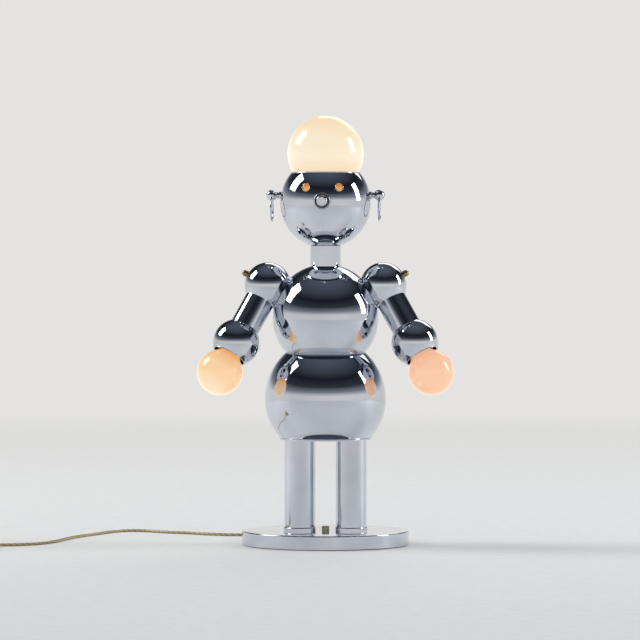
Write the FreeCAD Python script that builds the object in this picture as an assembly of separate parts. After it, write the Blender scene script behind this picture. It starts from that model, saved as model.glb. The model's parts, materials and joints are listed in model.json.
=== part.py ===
"""Figure-shaped table lamp: chromed balls and tubes on a weighted disc, with three globe bulbs.

Millimetres. The origin is the centre of the base's underside, +Z is up and the figure faces -Y.
Left and right are the viewer's, so left is -X.
"""

import FreeCAD, Part
import math
import os

Vec = FreeCAD.Vector
X_AXIS, Y_AXIS, Z_AXIS = Vec(1, 0, 0), Vec(0, 1, 0), Vec(0, 0, 1)
ORIGIN = Vec(0, 0, 0)

# Walls and clearances
shell_wall = 1.2
tube_wall = 1.2
small_wall = 1.0
running_gap = 0.3
shaft_gap = 0.05
wire_hole_r = 3.5

# Base
base_r = 104.5
base_top_z = 17.8
base_wall = 1.5
base_edge_r = 1.4
pad_t = 2.0
skirt_lift = 0.8
weight_side_gap = 0.4
counterbore_depth = 9.0
flex_channel_w = 8.0
flex_channel_h = 8.0
centre_screw_r = 2.5
centre_screw_head_r = 4.5
centre_screw_head_t = 3.0
thumb_nut_r = 4.6
thumb_nut_h = 5.2
thumb_nut_ribs = 18
thumb_nut_rib_r = 0.35
thumb_nut_edge = 0.6
thumb_nut_cover = 1.0

# Legs
leg_r = 19.2
leg_spread = 32.0
collar_r = 20.4
collar_h = 4.2
collar_edge_r = 1.2
leg_rod_r = 4.0
leg_wire_offset = 10.5

# Hips
hip_r = 75.75
hip_centre_z = 183.3
hip_cut_drop = 49.8
hip_plate_t = 2.0
hip_boss_r = 9.0
hip_boss_h = 10.0

# Torso, neck and centre pipe
torso_r = 66.4
torso_centre_z = 284.2
neck_r = 18.9
pipe_r = 5.0
pipe_bore_r = 3.8

# Head
head_r = 56.9
head_centre_z = 427.4
head_rim_drop = 19.8
head_turn_deg = -4.3
eye_hole_r = 5.2
eye_side = 20.4
eye_rise = 18.2
eye_flange_r = 6.8
eye_flange_t = 1.2
eye_proud = 0.7

# Nose knob, its rosette and its rotary switch
nose_rise = 1.2
rosette_r = 10.4
rosette_t = 2.6
rosette_dish_r = 9.2
rosette_dish_depth = 1.5
rosette_skirt = 1.3
knob_r = 6.7
knob_depth = 8.5
knob_edge_r = 2.4
knob_gap = 0.4
switch_shaft_r = 2.9
switch_bush_r = 4.8
switch_body_r = 12.5
switch_body_len = 17.0
switch_body_in = 9.0

# Ears
ear_rise = 9.2
ear_ball_r = 7.0
ear_reach = 10.4
ear_flange_r = 4.9
ear_flange_t = 1.2
ear_seat_in = 1.0
ear_waist_r = 3.0
ear_bead_r = 4.4
ear_bead_reach = 2.3
ear_bead_t = 1.2
ear_bevel = 0.4
ear_shank_r = 2.0
ear_shank_in = 9.0
ear_hole_r = 2.0
ear_hole_drop = 3.2
ring_r = 14.9
ring_wire_r = 1.1
ring_lift = 0.68

# Bulbs and lampholders
glass_wall = 0.9
globe_r = 47.5
globe_seat_gap = 0.48
globe_neck_r = 15.0
globe_cap_r = 13.0
globe_cap_len = 24.0
globe_cap_start = 56.0
globe_holder_r = 17.0
bulb_shoulder = 1.9
bulb_taper = 1.1
thread_depth = 0.5
thread_turns = 5
thread_plain = 3.0
hand_bulb_r = 28.5
hand_bulb_out = 43.5
hand_bulb_neck_r = 8.6
hand_cap_r = 6.9
hand_cap_len = 19.0
hand_cap_start = 33.5
hand_holder_r = 10.5
holder_fit = 0.3
holder_floor_t = 3.0
contact_r = 2.5
contact_h = 1.5

# Arms
pivot_tilt_deg = 28.8
pivot_stand_off = 15.8
ball_r = 29.2
arm_len = 84.0
arm_tube_r = 18.8
arm_swing_deg = 16.0
hand_rim_out = 19.2
pivot_rod_r = 3.0
pivot_rod_in = 12.0
finial_r = 4.1
finial_foot_h = 0.9
finial_bead_rise = 1.85
pivot_washer_r = 4.4
arm_rod_r = 5.0
arm_rod_bore_r = 3.6
arm_rod_end = 17.5
arm_wire_offset = 11.0

# Nuts and washers
washer_t = 1.2
big_nut_r = 8.0
big_nut_h = 5.0
small_nut_r = 5.2
small_nut_h = 3.6
washer_over_nut = 1.5
rod_past_nut = 2.0
nut_off_wall = 0.6
outer_nut_gap = 0.2

# Flex, its coil, tie and plug
flex_d = 3.6
gland_len = 26.0
gland_big_r = 4.6
gland_tip_r = 2.7
gland_z = 7.4
gland_grip = 6.0
coil_turns = 4
coil_mid_r = 20.4
coil_gap = 0.5
coil_centre = Vec(-437, -86, 0)
coil_start_deg = 130.0
tie_t = 0.6
tie_w = 5.0
tie_gap = 0.1
tie_deg = 200.0
plug_len = 30.0
plug_w = 22.0
plug_edge_r = 2.0
plug_neck_len = 16.0
plug_neck_r = 3.6
plug_neck_wall = 0.6
plug_back_h = 0.9
plug_back_w = 0.64
prong_w = 6.3
prong_t = 1.5
prong_len = 16.0
prong_pitch = 12.7
prong_root = 5.0

# Where the flex runs on the table, from the gland to the coil, chosen by hand
flex_route = [
    (-2, 151, 3.6),
    (-17, 166, 1.8),
    (-45, 168, 1.8),
    (-77, 152, 1.8),
    (-112, 136, 1.8),
    (-144, 146, 1.8),
    (-172, 169, 1.8),
    (-205, 184, 1.8),
    (-232, 210, 1.8),
    (-259, 217, 1.8),
    (-281, 192, 1.8),
    (-297, 152, 1.8),
    (-318, 111, 1.8),
    (-331, 66, 1.8),
    (-341, 22, 1.8),
    (-358, -12, 1.8),
    (-388, -30, 1.8),
]
bend_share = 0.45
run_in_len = 30.0
gap_samples = 900

# Values worked out from the sizes above
base_under_z = base_top_z - base_wall
weight_r = base_r - base_wall - weight_side_gap
hip_cut_z = hip_centre_z - hip_cut_drop
hip_rim_r = math.sqrt(hip_r**2 - hip_cut_drop**2)
leg_top_z = hip_cut_z - hip_plate_t
torso_centre = Vec(0, 0, torso_centre_z)
hip_centre = Vec(0, 0, hip_centre_z)
head_centre = Vec(0, 0, head_centre_z)
head_rim_rise = head_r - head_rim_drop
head_mouth_r = math.sqrt((head_r - shell_wall) ** 2 - head_rim_rise**2)
globe_rise = math.sqrt((globe_r + globe_seat_gap) ** 2 - head_mouth_r**2)
globe_centre_z = head_centre_z + head_rim_rise + globe_rise
ear_ball_out = head_r + ear_reach
ear_bead_start = head_r + ear_bead_reach
globe_holder_top = globe_centre_z - globe_cap_start
globe_holder_z = globe_holder_top - globe_cap_len - contact_h - holder_floor_t
pivot_out = torso_r + pivot_stand_off
pivot_tilt = math.radians(pivot_tilt_deg)
pivot_dir = Vec(math.cos(pivot_tilt), 0, math.sin(pivot_tilt))
shoulder = torso_centre + pivot_dir * pivot_out
flex_r = flex_d / 2
coil_step = flex_d + coil_gap
coil_floor = tie_t + tie_gap
coil_inner_r = coil_mid_r - coil_step * coil_turns / 2


def cylinder(radius, start, length, direction=Z_AXIS):
    """A round bar of one radius, from a point along a direction."""
    return Part.makeCylinder(radius, length, start, direction)


def ball(radius, centre):
    """A solid ball."""
    return Part.makeSphere(radius, centre)


def tube(radius, bore, start, length, direction=Z_AXIS):
    """A round bar with a round bore right through it."""
    return cylinder(radius, start, length, direction).cut(cylinder(bore, start, length, direction))


def turned(profile):
    """A piece turned about Z from (radius, height) points, closed by its last edge."""
    points = [Vec(r, 0, z) for r, z in profile]
    wire = Part.makePolygon(points + [points[0]])
    return Part.Face(wire).revolve(ORIGIN, Z_AXIS, 360)


def turned_with_ball(profile, radius, height):
    """A piece turned about Z from (radius, height) points that ends in a ball on the axis."""
    points = [Vec(r, 0, z) for r, z in profile]
    reach = math.sqrt(radius**2 - points[-1].x ** 2)
    meet = Vec(points[-1].x, 0, height - reach)
    pole = Vec(0, 0, height + radius)
    arc = Part.Arc(meet, Vec(radius, 0, height), pole).toShape()
    line = Part.makePolygon([pole, *points, meet])
    return Part.Face(Part.Wire([*line.Edges, arc])).revolve(ORIGIN, Z_AXIS, 360)


def hex_nut(across, bore, height, start, direction=Z_AXIS):
    """A hexagon nut, with half its width across flats, whose lower face is at start."""
    corner = across / math.cos(math.radians(30))
    points = [
        Vec(corner * math.cos(math.radians(60 * i)), corner * math.sin(math.radians(60 * i)), 0)
        for i in range(7)
    ]
    nut = Part.Face(Part.makePolygon(points)).extrude(Z_AXIS * height)
    chamfered = nut.common(Part.makeCone(across, across + height, height))
    nut = chamfered.common(Part.makeCone(across + height, across, height))
    return placed(nut.cut(cylinder(bore, ORIGIN, height)), start, direction)


def placed(shape, start, direction):
    """The shape with its Z turned to a direction and its origin moved to start."""
    moved = shape.copy()
    moved.Placement = FreeCAD.Placement(start, FreeCAD.Rotation(Z_AXIS, direction))
    return moved


def mirrored(shape):
    """The shape on the other side of the figure."""
    return shape.mirror(ORIGIN, X_AXIS)


def hollow_ball(radius, centre, wall):
    """A ball of sheet metal with no opening yet."""
    return ball(radius, centre).cut(ball(radius - wall, centre))


def both(make):
    """The left and right copies of what a function makes for the right side."""
    right = make()
    return {"left": mirrored(right), "right": right}


# The base
def base_parts():
    """The spun cover, the weight inside it, the pad under it and the screw that holds them."""
    cover = cylinder(base_r, Vec(0, 0, skirt_lift), base_top_z - skirt_lift)
    top_edge = [e for e in cover.Edges if abs(e.BoundBox.ZMin - base_top_z) < 0.01 and e.Closed]
    cover = cover.makeFillet(base_edge_r, top_edge)
    cover = cover.cut(cylinder(base_r - base_wall, ORIGIN, base_under_z))
    weight = cylinder(weight_r, Vec(0, 0, pad_t), base_under_z - pad_t)
    pad = cylinder(weight_r, ORIGIN, pad_t)
    channel = Part.makeBox(
        flex_channel_w,
        base_r,
        flex_channel_h,
        Vec(-flex_channel_w / 2, 0, gland_z - flex_channel_h / 2),
    )
    weight = weight.cut(channel)
    gland_hole = cylinder(gland_tip_r, Vec(0, base_r - 2 * base_wall, gland_z), 3 * base_wall, Y_AXIS)
    cover = cover.cut(gland_hole)
    for side in (-1, 1):
        foot = Vec(side * leg_spread, 0, 0)
        rod_hole = cylinder(leg_rod_r, foot, base_top_z)
        wire_hole = cylinder(wire_hole_r, foot + Y_AXIS * leg_wire_offset, base_top_z)
        nut_room = cylinder(big_nut_r + 2 * washer_over_nut, foot, pad_t + counterbore_depth)
        cover = cover.cut(rod_hole).cut(wire_hole)
        weight = weight.cut(rod_hole).cut(wire_hole).cut(nut_room)
    lead_way = Part.makeBox(
        2 * leg_spread,
        flex_channel_w,
        flex_channel_h,
        Vec(-leg_spread, leg_wire_offset, gland_z - flex_channel_h / 2),
    )
    weight = weight.cut(lead_way)
    screw_hole = cylinder(centre_screw_r, ORIGIN, base_top_z)
    head_room = cylinder(centre_screw_head_r, ORIGIN, pad_t + centre_screw_head_t)
    cover = cover.cut(screw_hole)
    weight = weight.cut(screw_hole).cut(head_room)
    screw = cylinder(centre_screw_head_r, Vec(0, 0, pad_t), centre_screw_head_t).fuse(
        cylinder(centre_screw_r, Vec(0, 0, pad_t), base_top_z + thumb_nut_h - thumb_nut_cover - pad_t)
    )
    return {
        "base_cover": cover,
        "base_weight": weight,
        "base_pad": pad,
        "base_centre_screw": screw,
        "base_thumb_nut": thumb_nut(),
    }


def thumb_nut():
    """The ribbed round nut that shows between the feet."""
    top = base_top_z + thumb_nut_h
    nut = turned(
        [
            (0, base_top_z),
            (thumb_nut_r, base_top_z),
            (thumb_nut_r, top - thumb_nut_edge),
            (thumb_nut_r - thumb_nut_edge, top),
            (0, top),
        ]
    )
    for i in range(thumb_nut_ribs):
        turn = 2 * math.pi * i / thumb_nut_ribs
        place = Vec(thumb_nut_r * math.cos(turn), thumb_nut_r * math.sin(turn), base_top_z + thumb_nut_edge)
        nut = nut.cut(cylinder(thumb_nut_rib_r, place, thumb_nut_h))
    return nut.cut(cylinder(centre_screw_r, ORIGIN, top - thumb_nut_cover))


# The legs
def leg_tube():
    """A leg, square at both ends, from the base cover to the plate under the hips."""
    foot = Vec(leg_spread, 0, base_top_z)
    return tube(leg_r, leg_r - tube_wall, foot, leg_top_z - base_top_z)


def foot_collar():
    """The thin collar round a leg where it stands on the base."""
    foot = Vec(leg_spread, 0, base_top_z)
    ring = cylinder(collar_r, foot, collar_h)
    upper = [e for e in ring.Edges if abs(e.BoundBox.ZMin - base_top_z - collar_h) < 0.01 and e.Closed]
    ring = ring.makeFillet(collar_edge_r, upper)
    return ring.cut(cylinder(leg_r, foot, collar_h))


leg_rod_low_z = pad_t + counterbore_depth - washer_t - big_nut_h - rod_past_nut
leg_rod_top_z = hip_cut_z + washer_t + big_nut_h + rod_past_nut


def leg_rod():
    """The threaded rod that ties the base, a leg and the hip plate together."""
    return cylinder(leg_rod_r, Vec(leg_spread, 0, leg_rod_low_z), leg_rod_top_z - leg_rod_low_z)


def leg_fasteners():
    """The washers and nuts at both ends of both leg rods."""
    washer_r = big_nut_r + washer_over_nut
    counter_z = pad_t + counterbore_depth
    washers, nuts = [], []
    for side in (-1, 1):
        low = Vec(side * leg_spread, 0, counter_z - washer_t)
        high = Vec(side * leg_spread, 0, hip_cut_z)
        washers.append(tube(washer_r, leg_rod_r, low, washer_t))
        washers.append(tube(washer_r, leg_rod_r, high, washer_t))
        nuts.append(hex_nut(big_nut_r, leg_rod_r, big_nut_h, low - Z_AXIS * big_nut_h))
        nuts.append(hex_nut(big_nut_r, leg_rod_r, big_nut_h, high + Z_AXIS * washer_t))
    return {"leg_rod_washers": Part.makeCompound(washers), "leg_rod_nuts": Part.makeCompound(nuts)}


# The body
def hip_parts():
    """The hips ball, open below, and the plate that closes it and carries the centre pipe."""
    cut_away = Part.makeBox(2 * hip_r, 2 * hip_r, hip_r, Vec(-hip_r, -hip_r, hip_cut_z - hip_r))
    shell = hollow_ball(hip_r, hip_centre, shell_wall).cut(cut_away)
    pole = Vec(0, 0, hip_centre_z)
    shell = shell.cut(cylinder(pipe_r, pole, hip_r + 1))
    for side in (-1, 1):
        shell = shell.cut(cylinder(wire_hole_r, pole + X_AXIS * side * leg_wire_offset, hip_r + 1))
    low = Vec(0, 0, leg_top_z)
    plate = cylinder(hip_rim_r, low, hip_plate_t)
    boss = cylinder(hip_boss_r, low, hip_plate_t + hip_boss_h)
    plate = plate.fuse(boss).cut(cylinder(pipe_r, low, hip_plate_t + hip_boss_h))
    for side in (-1, 1):
        foot = Vec(side * leg_spread, 0, leg_top_z)
        plate = plate.cut(cylinder(leg_rod_r, foot, hip_plate_t))
        plate = plate.cut(cylinder(wire_hole_r, foot + Y_AXIS * leg_wire_offset, hip_plate_t))
    return {"hip_ball": shell, "hip_plate": plate}


def torso_ball():
    """The torso ball, whose open underside sits on the hips ball."""
    shell = hollow_ball(torso_r, torso_centre, shell_wall).cut(ball(hip_r, hip_centre))
    top = Vec(0, 0, torso_centre_z)
    shell = shell.cut(cylinder(pipe_r, top, torso_r + 1))
    shell = shell.cut(cylinder(wire_hole_r, top + Y_AXIS * leg_wire_offset, torso_r + 1))
    rod = cylinder(pivot_rod_r, torso_centre, torso_r + 1, pivot_dir)
    lead = cylinder(wire_hole_r, torso_centre + Y_AXIS * arm_wire_offset, torso_r + 1, pivot_dir)
    return shell.cut(rod).cut(lead).cut(mirrored(rod)).cut(mirrored(lead))


def neck_tube():
    """The neck, whose ends are cut to the torso ball and, with a running gap, to the head ball."""
    start = Vec(0, 0, torso_centre_z)
    neck = tube(neck_r, neck_r - tube_wall, start, head_centre_z - torso_centre_z)
    return neck.cut(ball(torso_r, torso_centre)).cut(ball(head_r + running_gap, head_centre))


head_floor_z = head_centre_z - math.sqrt((head_r - shell_wall) ** 2 - (big_nut_r + washer_over_nut) ** 2)
head_washer_z = head_floor_z + 2 * shaft_gap
pipe_top_z = globe_holder_z + holder_floor_t


def centre_pipe_parts():
    """The threaded pipe from the hip plate to the head's lampholder, with its nuts and washer."""
    low = Vec(0, 0, leg_top_z)
    washer_r = big_nut_r + washer_over_nut
    head_washer = tube(washer_r, pipe_r, Vec(0, 0, head_washer_z), washer_t)
    nut_places = [head_washer_z + washer_t, globe_holder_z - big_nut_h]
    nuts = [hex_nut(big_nut_r, pipe_r, big_nut_h, Vec(0, 0, z)) for z in nut_places]
    torso_top = torso_centre_z + math.sqrt((torso_r - shell_wall) ** 2 - big_nut_r**2)
    torso_nut = Vec(0, 0, torso_top - big_nut_h - nut_off_wall)
    nuts.append(hex_nut(big_nut_r, pipe_r, big_nut_h, torso_nut))
    return {
        "centre_pipe": tube(pipe_r, pipe_bore_r, low, pipe_top_z - leg_top_z),
        "centre_pipe_nuts": Part.makeCompound(nuts),
        "head_washer": head_washer,
    }


# Bulbs and lampholders, made along Z with the bulb's centre at the origin and its cap below
def bulb_glass(radius, neck_r, cap_start):
    """The hollow glass of a globe bulb, from its crown to the rim of its cap."""

    def outline(r, throat):
        shoulder_r = bulb_shoulder * throat
        meet = Vec(shoulder_r, 0, -math.sqrt(r**2 - shoulder_r**2))
        side = Vec(r, 0, 0)
        crown_turn = math.pi / 4
        crown_mid = Vec(r * math.sin(crown_turn), 0, r * math.cos(crown_turn))
        crown = Part.Arc(Vec(0, 0, r), crown_mid, side).toShape()
        low_turn = (math.acos(meet.z / r) + math.pi / 2) / 2
        low_mid = Vec(r * math.sin(low_turn), 0, r * math.cos(low_turn))
        lower = Part.Arc(side, low_mid, meet).toShape()
        knee = Vec(throat, 0, meet.z - bulb_taper * throat)
        neck = Part.LineSegment(meet, knee).toShape()
        throat_end = Vec(throat, 0, -cap_start)
        stem = Part.LineSegment(knee, throat_end).toShape()
        foot = Part.LineSegment(throat_end, Vec(0, 0, -cap_start)).toShape()
        axis = Part.LineSegment(Vec(0, 0, -cap_start), Vec(0, 0, r)).toShape()
        face = Part.Face(Part.Wire([crown, lower, neck, stem, foot, axis]))
        return face.revolve(ORIGIN, Z_AXIS, 360)

    return outline(radius, neck_r).cut(outline(radius - glass_wall, neck_r - glass_wall))


def bulb_cap(cap_r, cap_len, cap_start):
    """The screw cap under a bulb's glass, with its contact."""
    low = -cap_start - cap_len
    root_r = cap_r - thread_depth
    pitch = (cap_len - 2 * thread_plain) / thread_turns
    profile = [(0, -cap_start), (cap_r, -cap_start), (cap_r, -cap_start - thread_plain + thread_depth)]
    for i in range(thread_turns):
        top = -cap_start - thread_plain - i * pitch
        profile += [(root_r, top), (cap_r, top - pitch / 2), (root_r, top - pitch)]
    profile += [(contact_r + thread_depth, low), (contact_r, low - contact_h), (0, low - contact_h)]
    return turned(profile)


def head_light():
    """The big globe bulb and its lampholder, upright on the centre pipe."""
    centre = Vec(0, 0, globe_centre_z)
    holder = cylinder(globe_holder_r, Vec(0, 0, globe_holder_z), globe_holder_top - 1 - globe_holder_z)
    floor = globe_holder_z + holder_floor_t
    holder = holder.cut(cylinder(globe_cap_r + holder_fit, Vec(0, 0, floor), globe_cap_len + holder_floor_t))
    holder = holder.cut(cylinder(pipe_r, Vec(0, 0, globe_holder_z), holder_floor_t))
    parts = {
        "head_bulb_glass": bulb_glass(globe_r, globe_neck_r, globe_cap_start),
        "head_bulb_cap": bulb_cap(globe_cap_r, globe_cap_len, globe_cap_start),
    }
    parts = {name: placed(shape, centre, Z_AXIS) for name, shape in parts.items()}
    parts["head_lampholder"] = holder
    return parts


# The head, made facing -Y with its ball's centre at the origin, then turned and raised
def in_head(shape):
    """A piece of the head, turned on the neck and raised to its place."""
    moved = shape.copy()
    moved.rotate(ORIGIN, Z_AXIS, head_turn_deg)
    moved.translate(head_centre)
    return moved


def eye_axis(side):
    """The direction from the head's centre through an eye."""
    forward = -math.sqrt(head_r**2 - eye_side**2 - eye_rise**2)
    return Vec(side * eye_side, forward, eye_rise).normalize()


nose_face = math.sqrt(head_r**2 - rosette_r**2)
nose_axis_point = Vec(0, 0, nose_rise)


def head_ball():
    """The head ball, open above for the globe, with holes for pipe, eyes, nose and ears."""
    lid = Part.makeBox(2 * head_r, 2 * head_r, head_r, Vec(-head_r, -head_r, head_rim_rise))
    shell = hollow_ball(head_r, ORIGIN, shell_wall).cut(lid)
    shell = shell.cut(cylinder(pipe_r + shaft_gap, ORIGIN, head_r + 1, -Z_AXIS))
    for side in (-1, 1):
        shell = shell.cut(cylinder(eye_hole_r, ORIGIN, head_r + 1, eye_axis(side)))
        shell = shell.cut(cylinder(ear_shank_r, Z_AXIS * ear_rise, head_r + 1, X_AXIS * side))
    return shell.cut(cylinder(switch_bush_r, nose_axis_point, head_r + 1, -Y_AXIS))


def eye_lens(side):
    """An amber lens, pushed out through its hole from inside and stopped by its flange."""
    axis = eye_axis(side)
    inner = head_r - shell_wall
    front = cylinder(eye_hole_r, ORIGIN, head_r + eye_proud, axis).common(ball(head_r + eye_proud, ORIGIN))
    flange = cylinder(eye_flange_r, ORIGIN, head_r, axis).common(ball(inner, ORIGIN))
    hollow = ball(inner - eye_flange_t, ORIGIN)
    return front.fuse(flange).cut(hollow)


def nose_parts():
    """The rotary switch behind the nose, the rosette in front of the head and the knob."""
    shaft_end = nose_face + rosette_t + knob_gap + knob_depth / 2
    body_front = head_r - switch_body_in
    switch = cylinder(switch_body_r, nose_axis_point - Y_AXIS * (body_front - switch_body_len),
                      switch_body_len, -Y_AXIS)
    bush_end = nose_face + rosette_dish_depth
    bush = cylinder(switch_bush_r, nose_axis_point, bush_end, -Y_AXIS)
    bush = bush.cut(cylinder(switch_bush_r, nose_axis_point, body_front, -Y_AXIS))
    bore = cylinder(switch_shaft_r + shaft_gap, nose_axis_point - Y_AXIS * (body_front - switch_body_in),
                    head_r, -Y_AXIS)
    rosette = turned(
        [
            (switch_bush_r, nose_face - rosette_skirt),
            (rosette_r, nose_face - rosette_skirt),
            (rosette_r, nose_face + rosette_t - 1),
            (rosette_r - 1, nose_face + rosette_t),
            (rosette_dish_r, nose_face + rosette_t),
            (rosette_dish_r - 1, nose_face + rosette_t - rosette_dish_depth),
            (switch_bush_r, nose_face + rosette_t - rosette_dish_depth),
        ]
    )
    rosette = placed(rosette, nose_axis_point, -Y_AXIS).cut(ball(head_r, ORIGIN))
    knob_start = nose_face + rosette_t - rosette_dish_depth + knob_gap
    knob = cylinder(knob_r, Z_AXIS * knob_start, knob_depth)
    rim = [e for e in knob.Edges if abs(e.BoundBox.ZMin - knob_start - knob_depth) < 0.01 and e.Closed]
    knob = knob.makeFillet(knob_edge_r, rim)
    shaft_start = body_front - switch_body_in + knob_gap
    knob = knob.fuse(cylinder(switch_shaft_r, Z_AXIS * shaft_start, shaft_end - shaft_start))
    return {
        "nose_switch": switch.fuse(bush).cut(bore),
        "nose_rosette": rosette,
        "nose_knob": placed(knob, nose_axis_point, -Y_AXIS),
    }


def ear_stud():
    """A turned ear: flange, waist, bead and a ball with a hole for its ring."""
    seat = math.sqrt(head_r**2 - (ear_rise + ear_flange_r) ** 2) - ear_seat_in
    flange_end = head_r + ear_flange_t
    bead_end = ear_bead_start + ear_bead_t
    stud = turned_with_ball(
        [
            (0, seat),
            (ear_flange_r, seat),
            (ear_flange_r, flange_end - ear_bevel),
            (ear_flange_r - ear_bevel, flange_end),
            (ear_waist_r, flange_end + ear_bevel),
            (ear_waist_r, ear_bead_start - ear_bevel),
            (ear_bead_r, ear_bead_start),
            (ear_bead_r, bead_end),
            (ear_waist_r, bead_end + ear_bevel),
        ],
        ear_ball_r,
        ear_ball_out,
    )
    shank = cylinder(ear_shank_r, Z_AXIS * (head_r - ear_shank_in), ear_shank_in + ear_flange_t)
    stud = placed(stud, Z_AXIS * ear_rise, X_AXIS).cut(ball(head_r, ORIGIN))
    stud = stud.fuse(placed(shank, Z_AXIS * ear_rise, X_AXIS))
    hole = cylinder(ear_hole_r, ear_hole_place() - Y_AXIS * ear_ball_r, 2 * ear_ball_r, Y_AXIS)
    return stud.cut(hole)


def ear_hole_place():
    """The middle of the hole that a ring hangs in, on the viewer's right of the unturned head."""
    return Vec(ear_ball_out, 0, ear_rise - ear_hole_drop)


def ear_ring():
    """The wire hoop that hangs in an ear's hole and swings about it."""
    centre = ear_hole_place() + Z_AXIS * (ring_lift - ring_r)
    return Part.makeTorus(ring_r, ring_wire_r, centre, X_AXIS)


def ear_nut():
    """The nut that holds an ear from inside the head."""
    inner_x = math.sqrt((head_r - shell_wall) ** 2 - (ear_rise + small_nut_r + 1) ** 2)
    return hex_nut(small_nut_r - 1, ear_shank_r, small_nut_h, Vec(inner_x, 0, ear_rise), -X_AXIS)


def head_parts():
    """Everything that turns with the head, and the knob and rings that move on it."""
    parts = {"head_ball": head_ball()}
    parts.update(nose_parts())
    for name, side in (("left", -1), ("right", 1)):
        parts[f"eye_lens_{name}"] = eye_lens(side)
    for name, shape in both(ear_stud).items():
        parts[f"ear_stud_{name}"] = shape
    for name, shape in both(ear_ring).items():
        parts[f"ear_ring_{name}"] = shape
    parts["ear_nuts"] = Part.makeCompound(list(both(ear_nut).values()))
    return {name: in_head(shape) for name, shape in parts.items()}


# An arm, made with its shoulder ball's centre at the origin, its pivot along +Z and the arm along +X
def in_shoulder(shape):
    """A piece of the arm, swung forward on its pivot and moved to the right shoulder."""
    moved = shape.copy()
    moved.rotate(ORIGIN, Z_AXIS, -arm_swing_deg)
    moved.rotate(ORIGIN, Y_AXIS, 90 - pivot_tilt_deg)
    moved.translate(shoulder)
    return moved


hand = X_AXIS * arm_len


def shoulder_ball():
    """The shoulder ball, cut open to ride on the torso ball, with pivot and arm holes."""
    shell = hollow_ball(ball_r, ORIGIN, small_wall)
    shell = shell.cut(ball(torso_r + running_gap, -Z_AXIS * pivot_out))
    shell = shell.cut(cylinder(pivot_rod_r + shaft_gap, ORIGIN, ball_r + 1))
    return shell.cut(cylinder(arm_rod_r, ORIGIN, ball_r + 1, X_AXIS))


def hand_ball():
    """The hand ball, open at its far side for the bulb."""
    mouth = Part.makeBox(ball_r, 2 * ball_r, 2 * ball_r, hand + Vec(hand_rim_out, -ball_r, -ball_r))
    shell = hollow_ball(ball_r, hand, small_wall).cut(mouth)
    return shell.cut(cylinder(arm_rod_r, hand, ball_r + 1, -X_AXIS))


def arm_tube():
    """The tube between the two balls, cut to fit both."""
    bar = tube(arm_tube_r, arm_tube_r - tube_wall, ORIGIN, arm_len, X_AXIS)
    return bar.cut(ball(ball_r, ORIGIN)).cut(ball(ball_r, hand))


arm_washer_seat = math.sqrt((ball_r - small_wall) ** 2 - (big_nut_r + washer_over_nut) ** 2)


def arm_fasteners():
    """The washer and nut at each end of the arm's threaded tube."""
    washer_r = big_nut_r + washer_over_nut
    shapes = []
    for place, inward in ((ORIGIN, -1), (hand, 1)):
        seat = place - X_AXIS * inward * arm_washer_seat
        shapes.append(tube(washer_r, arm_rod_r, seat, washer_t, X_AXIS * inward))
        nut_seat = seat + X_AXIS * inward * washer_t
        shapes.append(hex_nut(big_nut_r, arm_rod_r, big_nut_h, nut_seat, X_AXIS * inward))
    return Part.makeCompound(shapes)


hand_holder_floor = hand_bulb_out - hand_cap_start - hand_cap_len - contact_h - holder_floor_t


def arm_rod():
    """The hollow threaded tube that pulls both balls onto the arm tube and leads the wires."""
    end = arm_len + hand_holder_floor + holder_floor_t
    return tube(arm_rod_r, arm_rod_bore_r, X_AXIS * arm_rod_end, end - arm_rod_end, X_AXIS)


def hand_light():
    """The hand's globe bulb, its cap and the lampholder on the end of the threaded tube."""
    top = hand_bulb_out - hand_cap_start - 1
    low = hand + X_AXIS * hand_holder_floor
    holder = cylinder(hand_holder_r, low, top - hand_holder_floor, X_AXIS)
    cup = cylinder(hand_cap_r + holder_fit, low + X_AXIS * holder_floor_t, hand_cap_len + 2, X_AXIS)
    holder = holder.cut(cup).cut(cylinder(arm_rod_r, low, holder_floor_t, X_AXIS))
    centre = hand + X_AXIS * hand_bulb_out
    glass = bulb_glass(hand_bulb_r, hand_bulb_neck_r, hand_cap_start)
    cap = bulb_cap(hand_cap_r, hand_cap_len, hand_cap_start)
    return {
        "hand_lampholder": holder,
        "hand_bulb_glass": placed(glass, centre, X_AXIS),
        "hand_bulb_cap": placed(cap, centre, X_AXIS),
    }


def arm_parts():
    """Both arms, each piece under its name and side."""
    arm = {
        "shoulder_ball": shoulder_ball(),
        "arm_tube": arm_tube(),
        "arm_rod": arm_rod(),
        "arm_fasteners": arm_fasteners(),
        "hand_ball": hand_ball(),
        **hand_light(),
    }
    parts = {}
    for name, shape in arm.items():
        right = in_shoulder(shape)
        parts[f"{name}_right"] = right
        parts[f"{name}_left"] = mirrored(right)
    return parts


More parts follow.
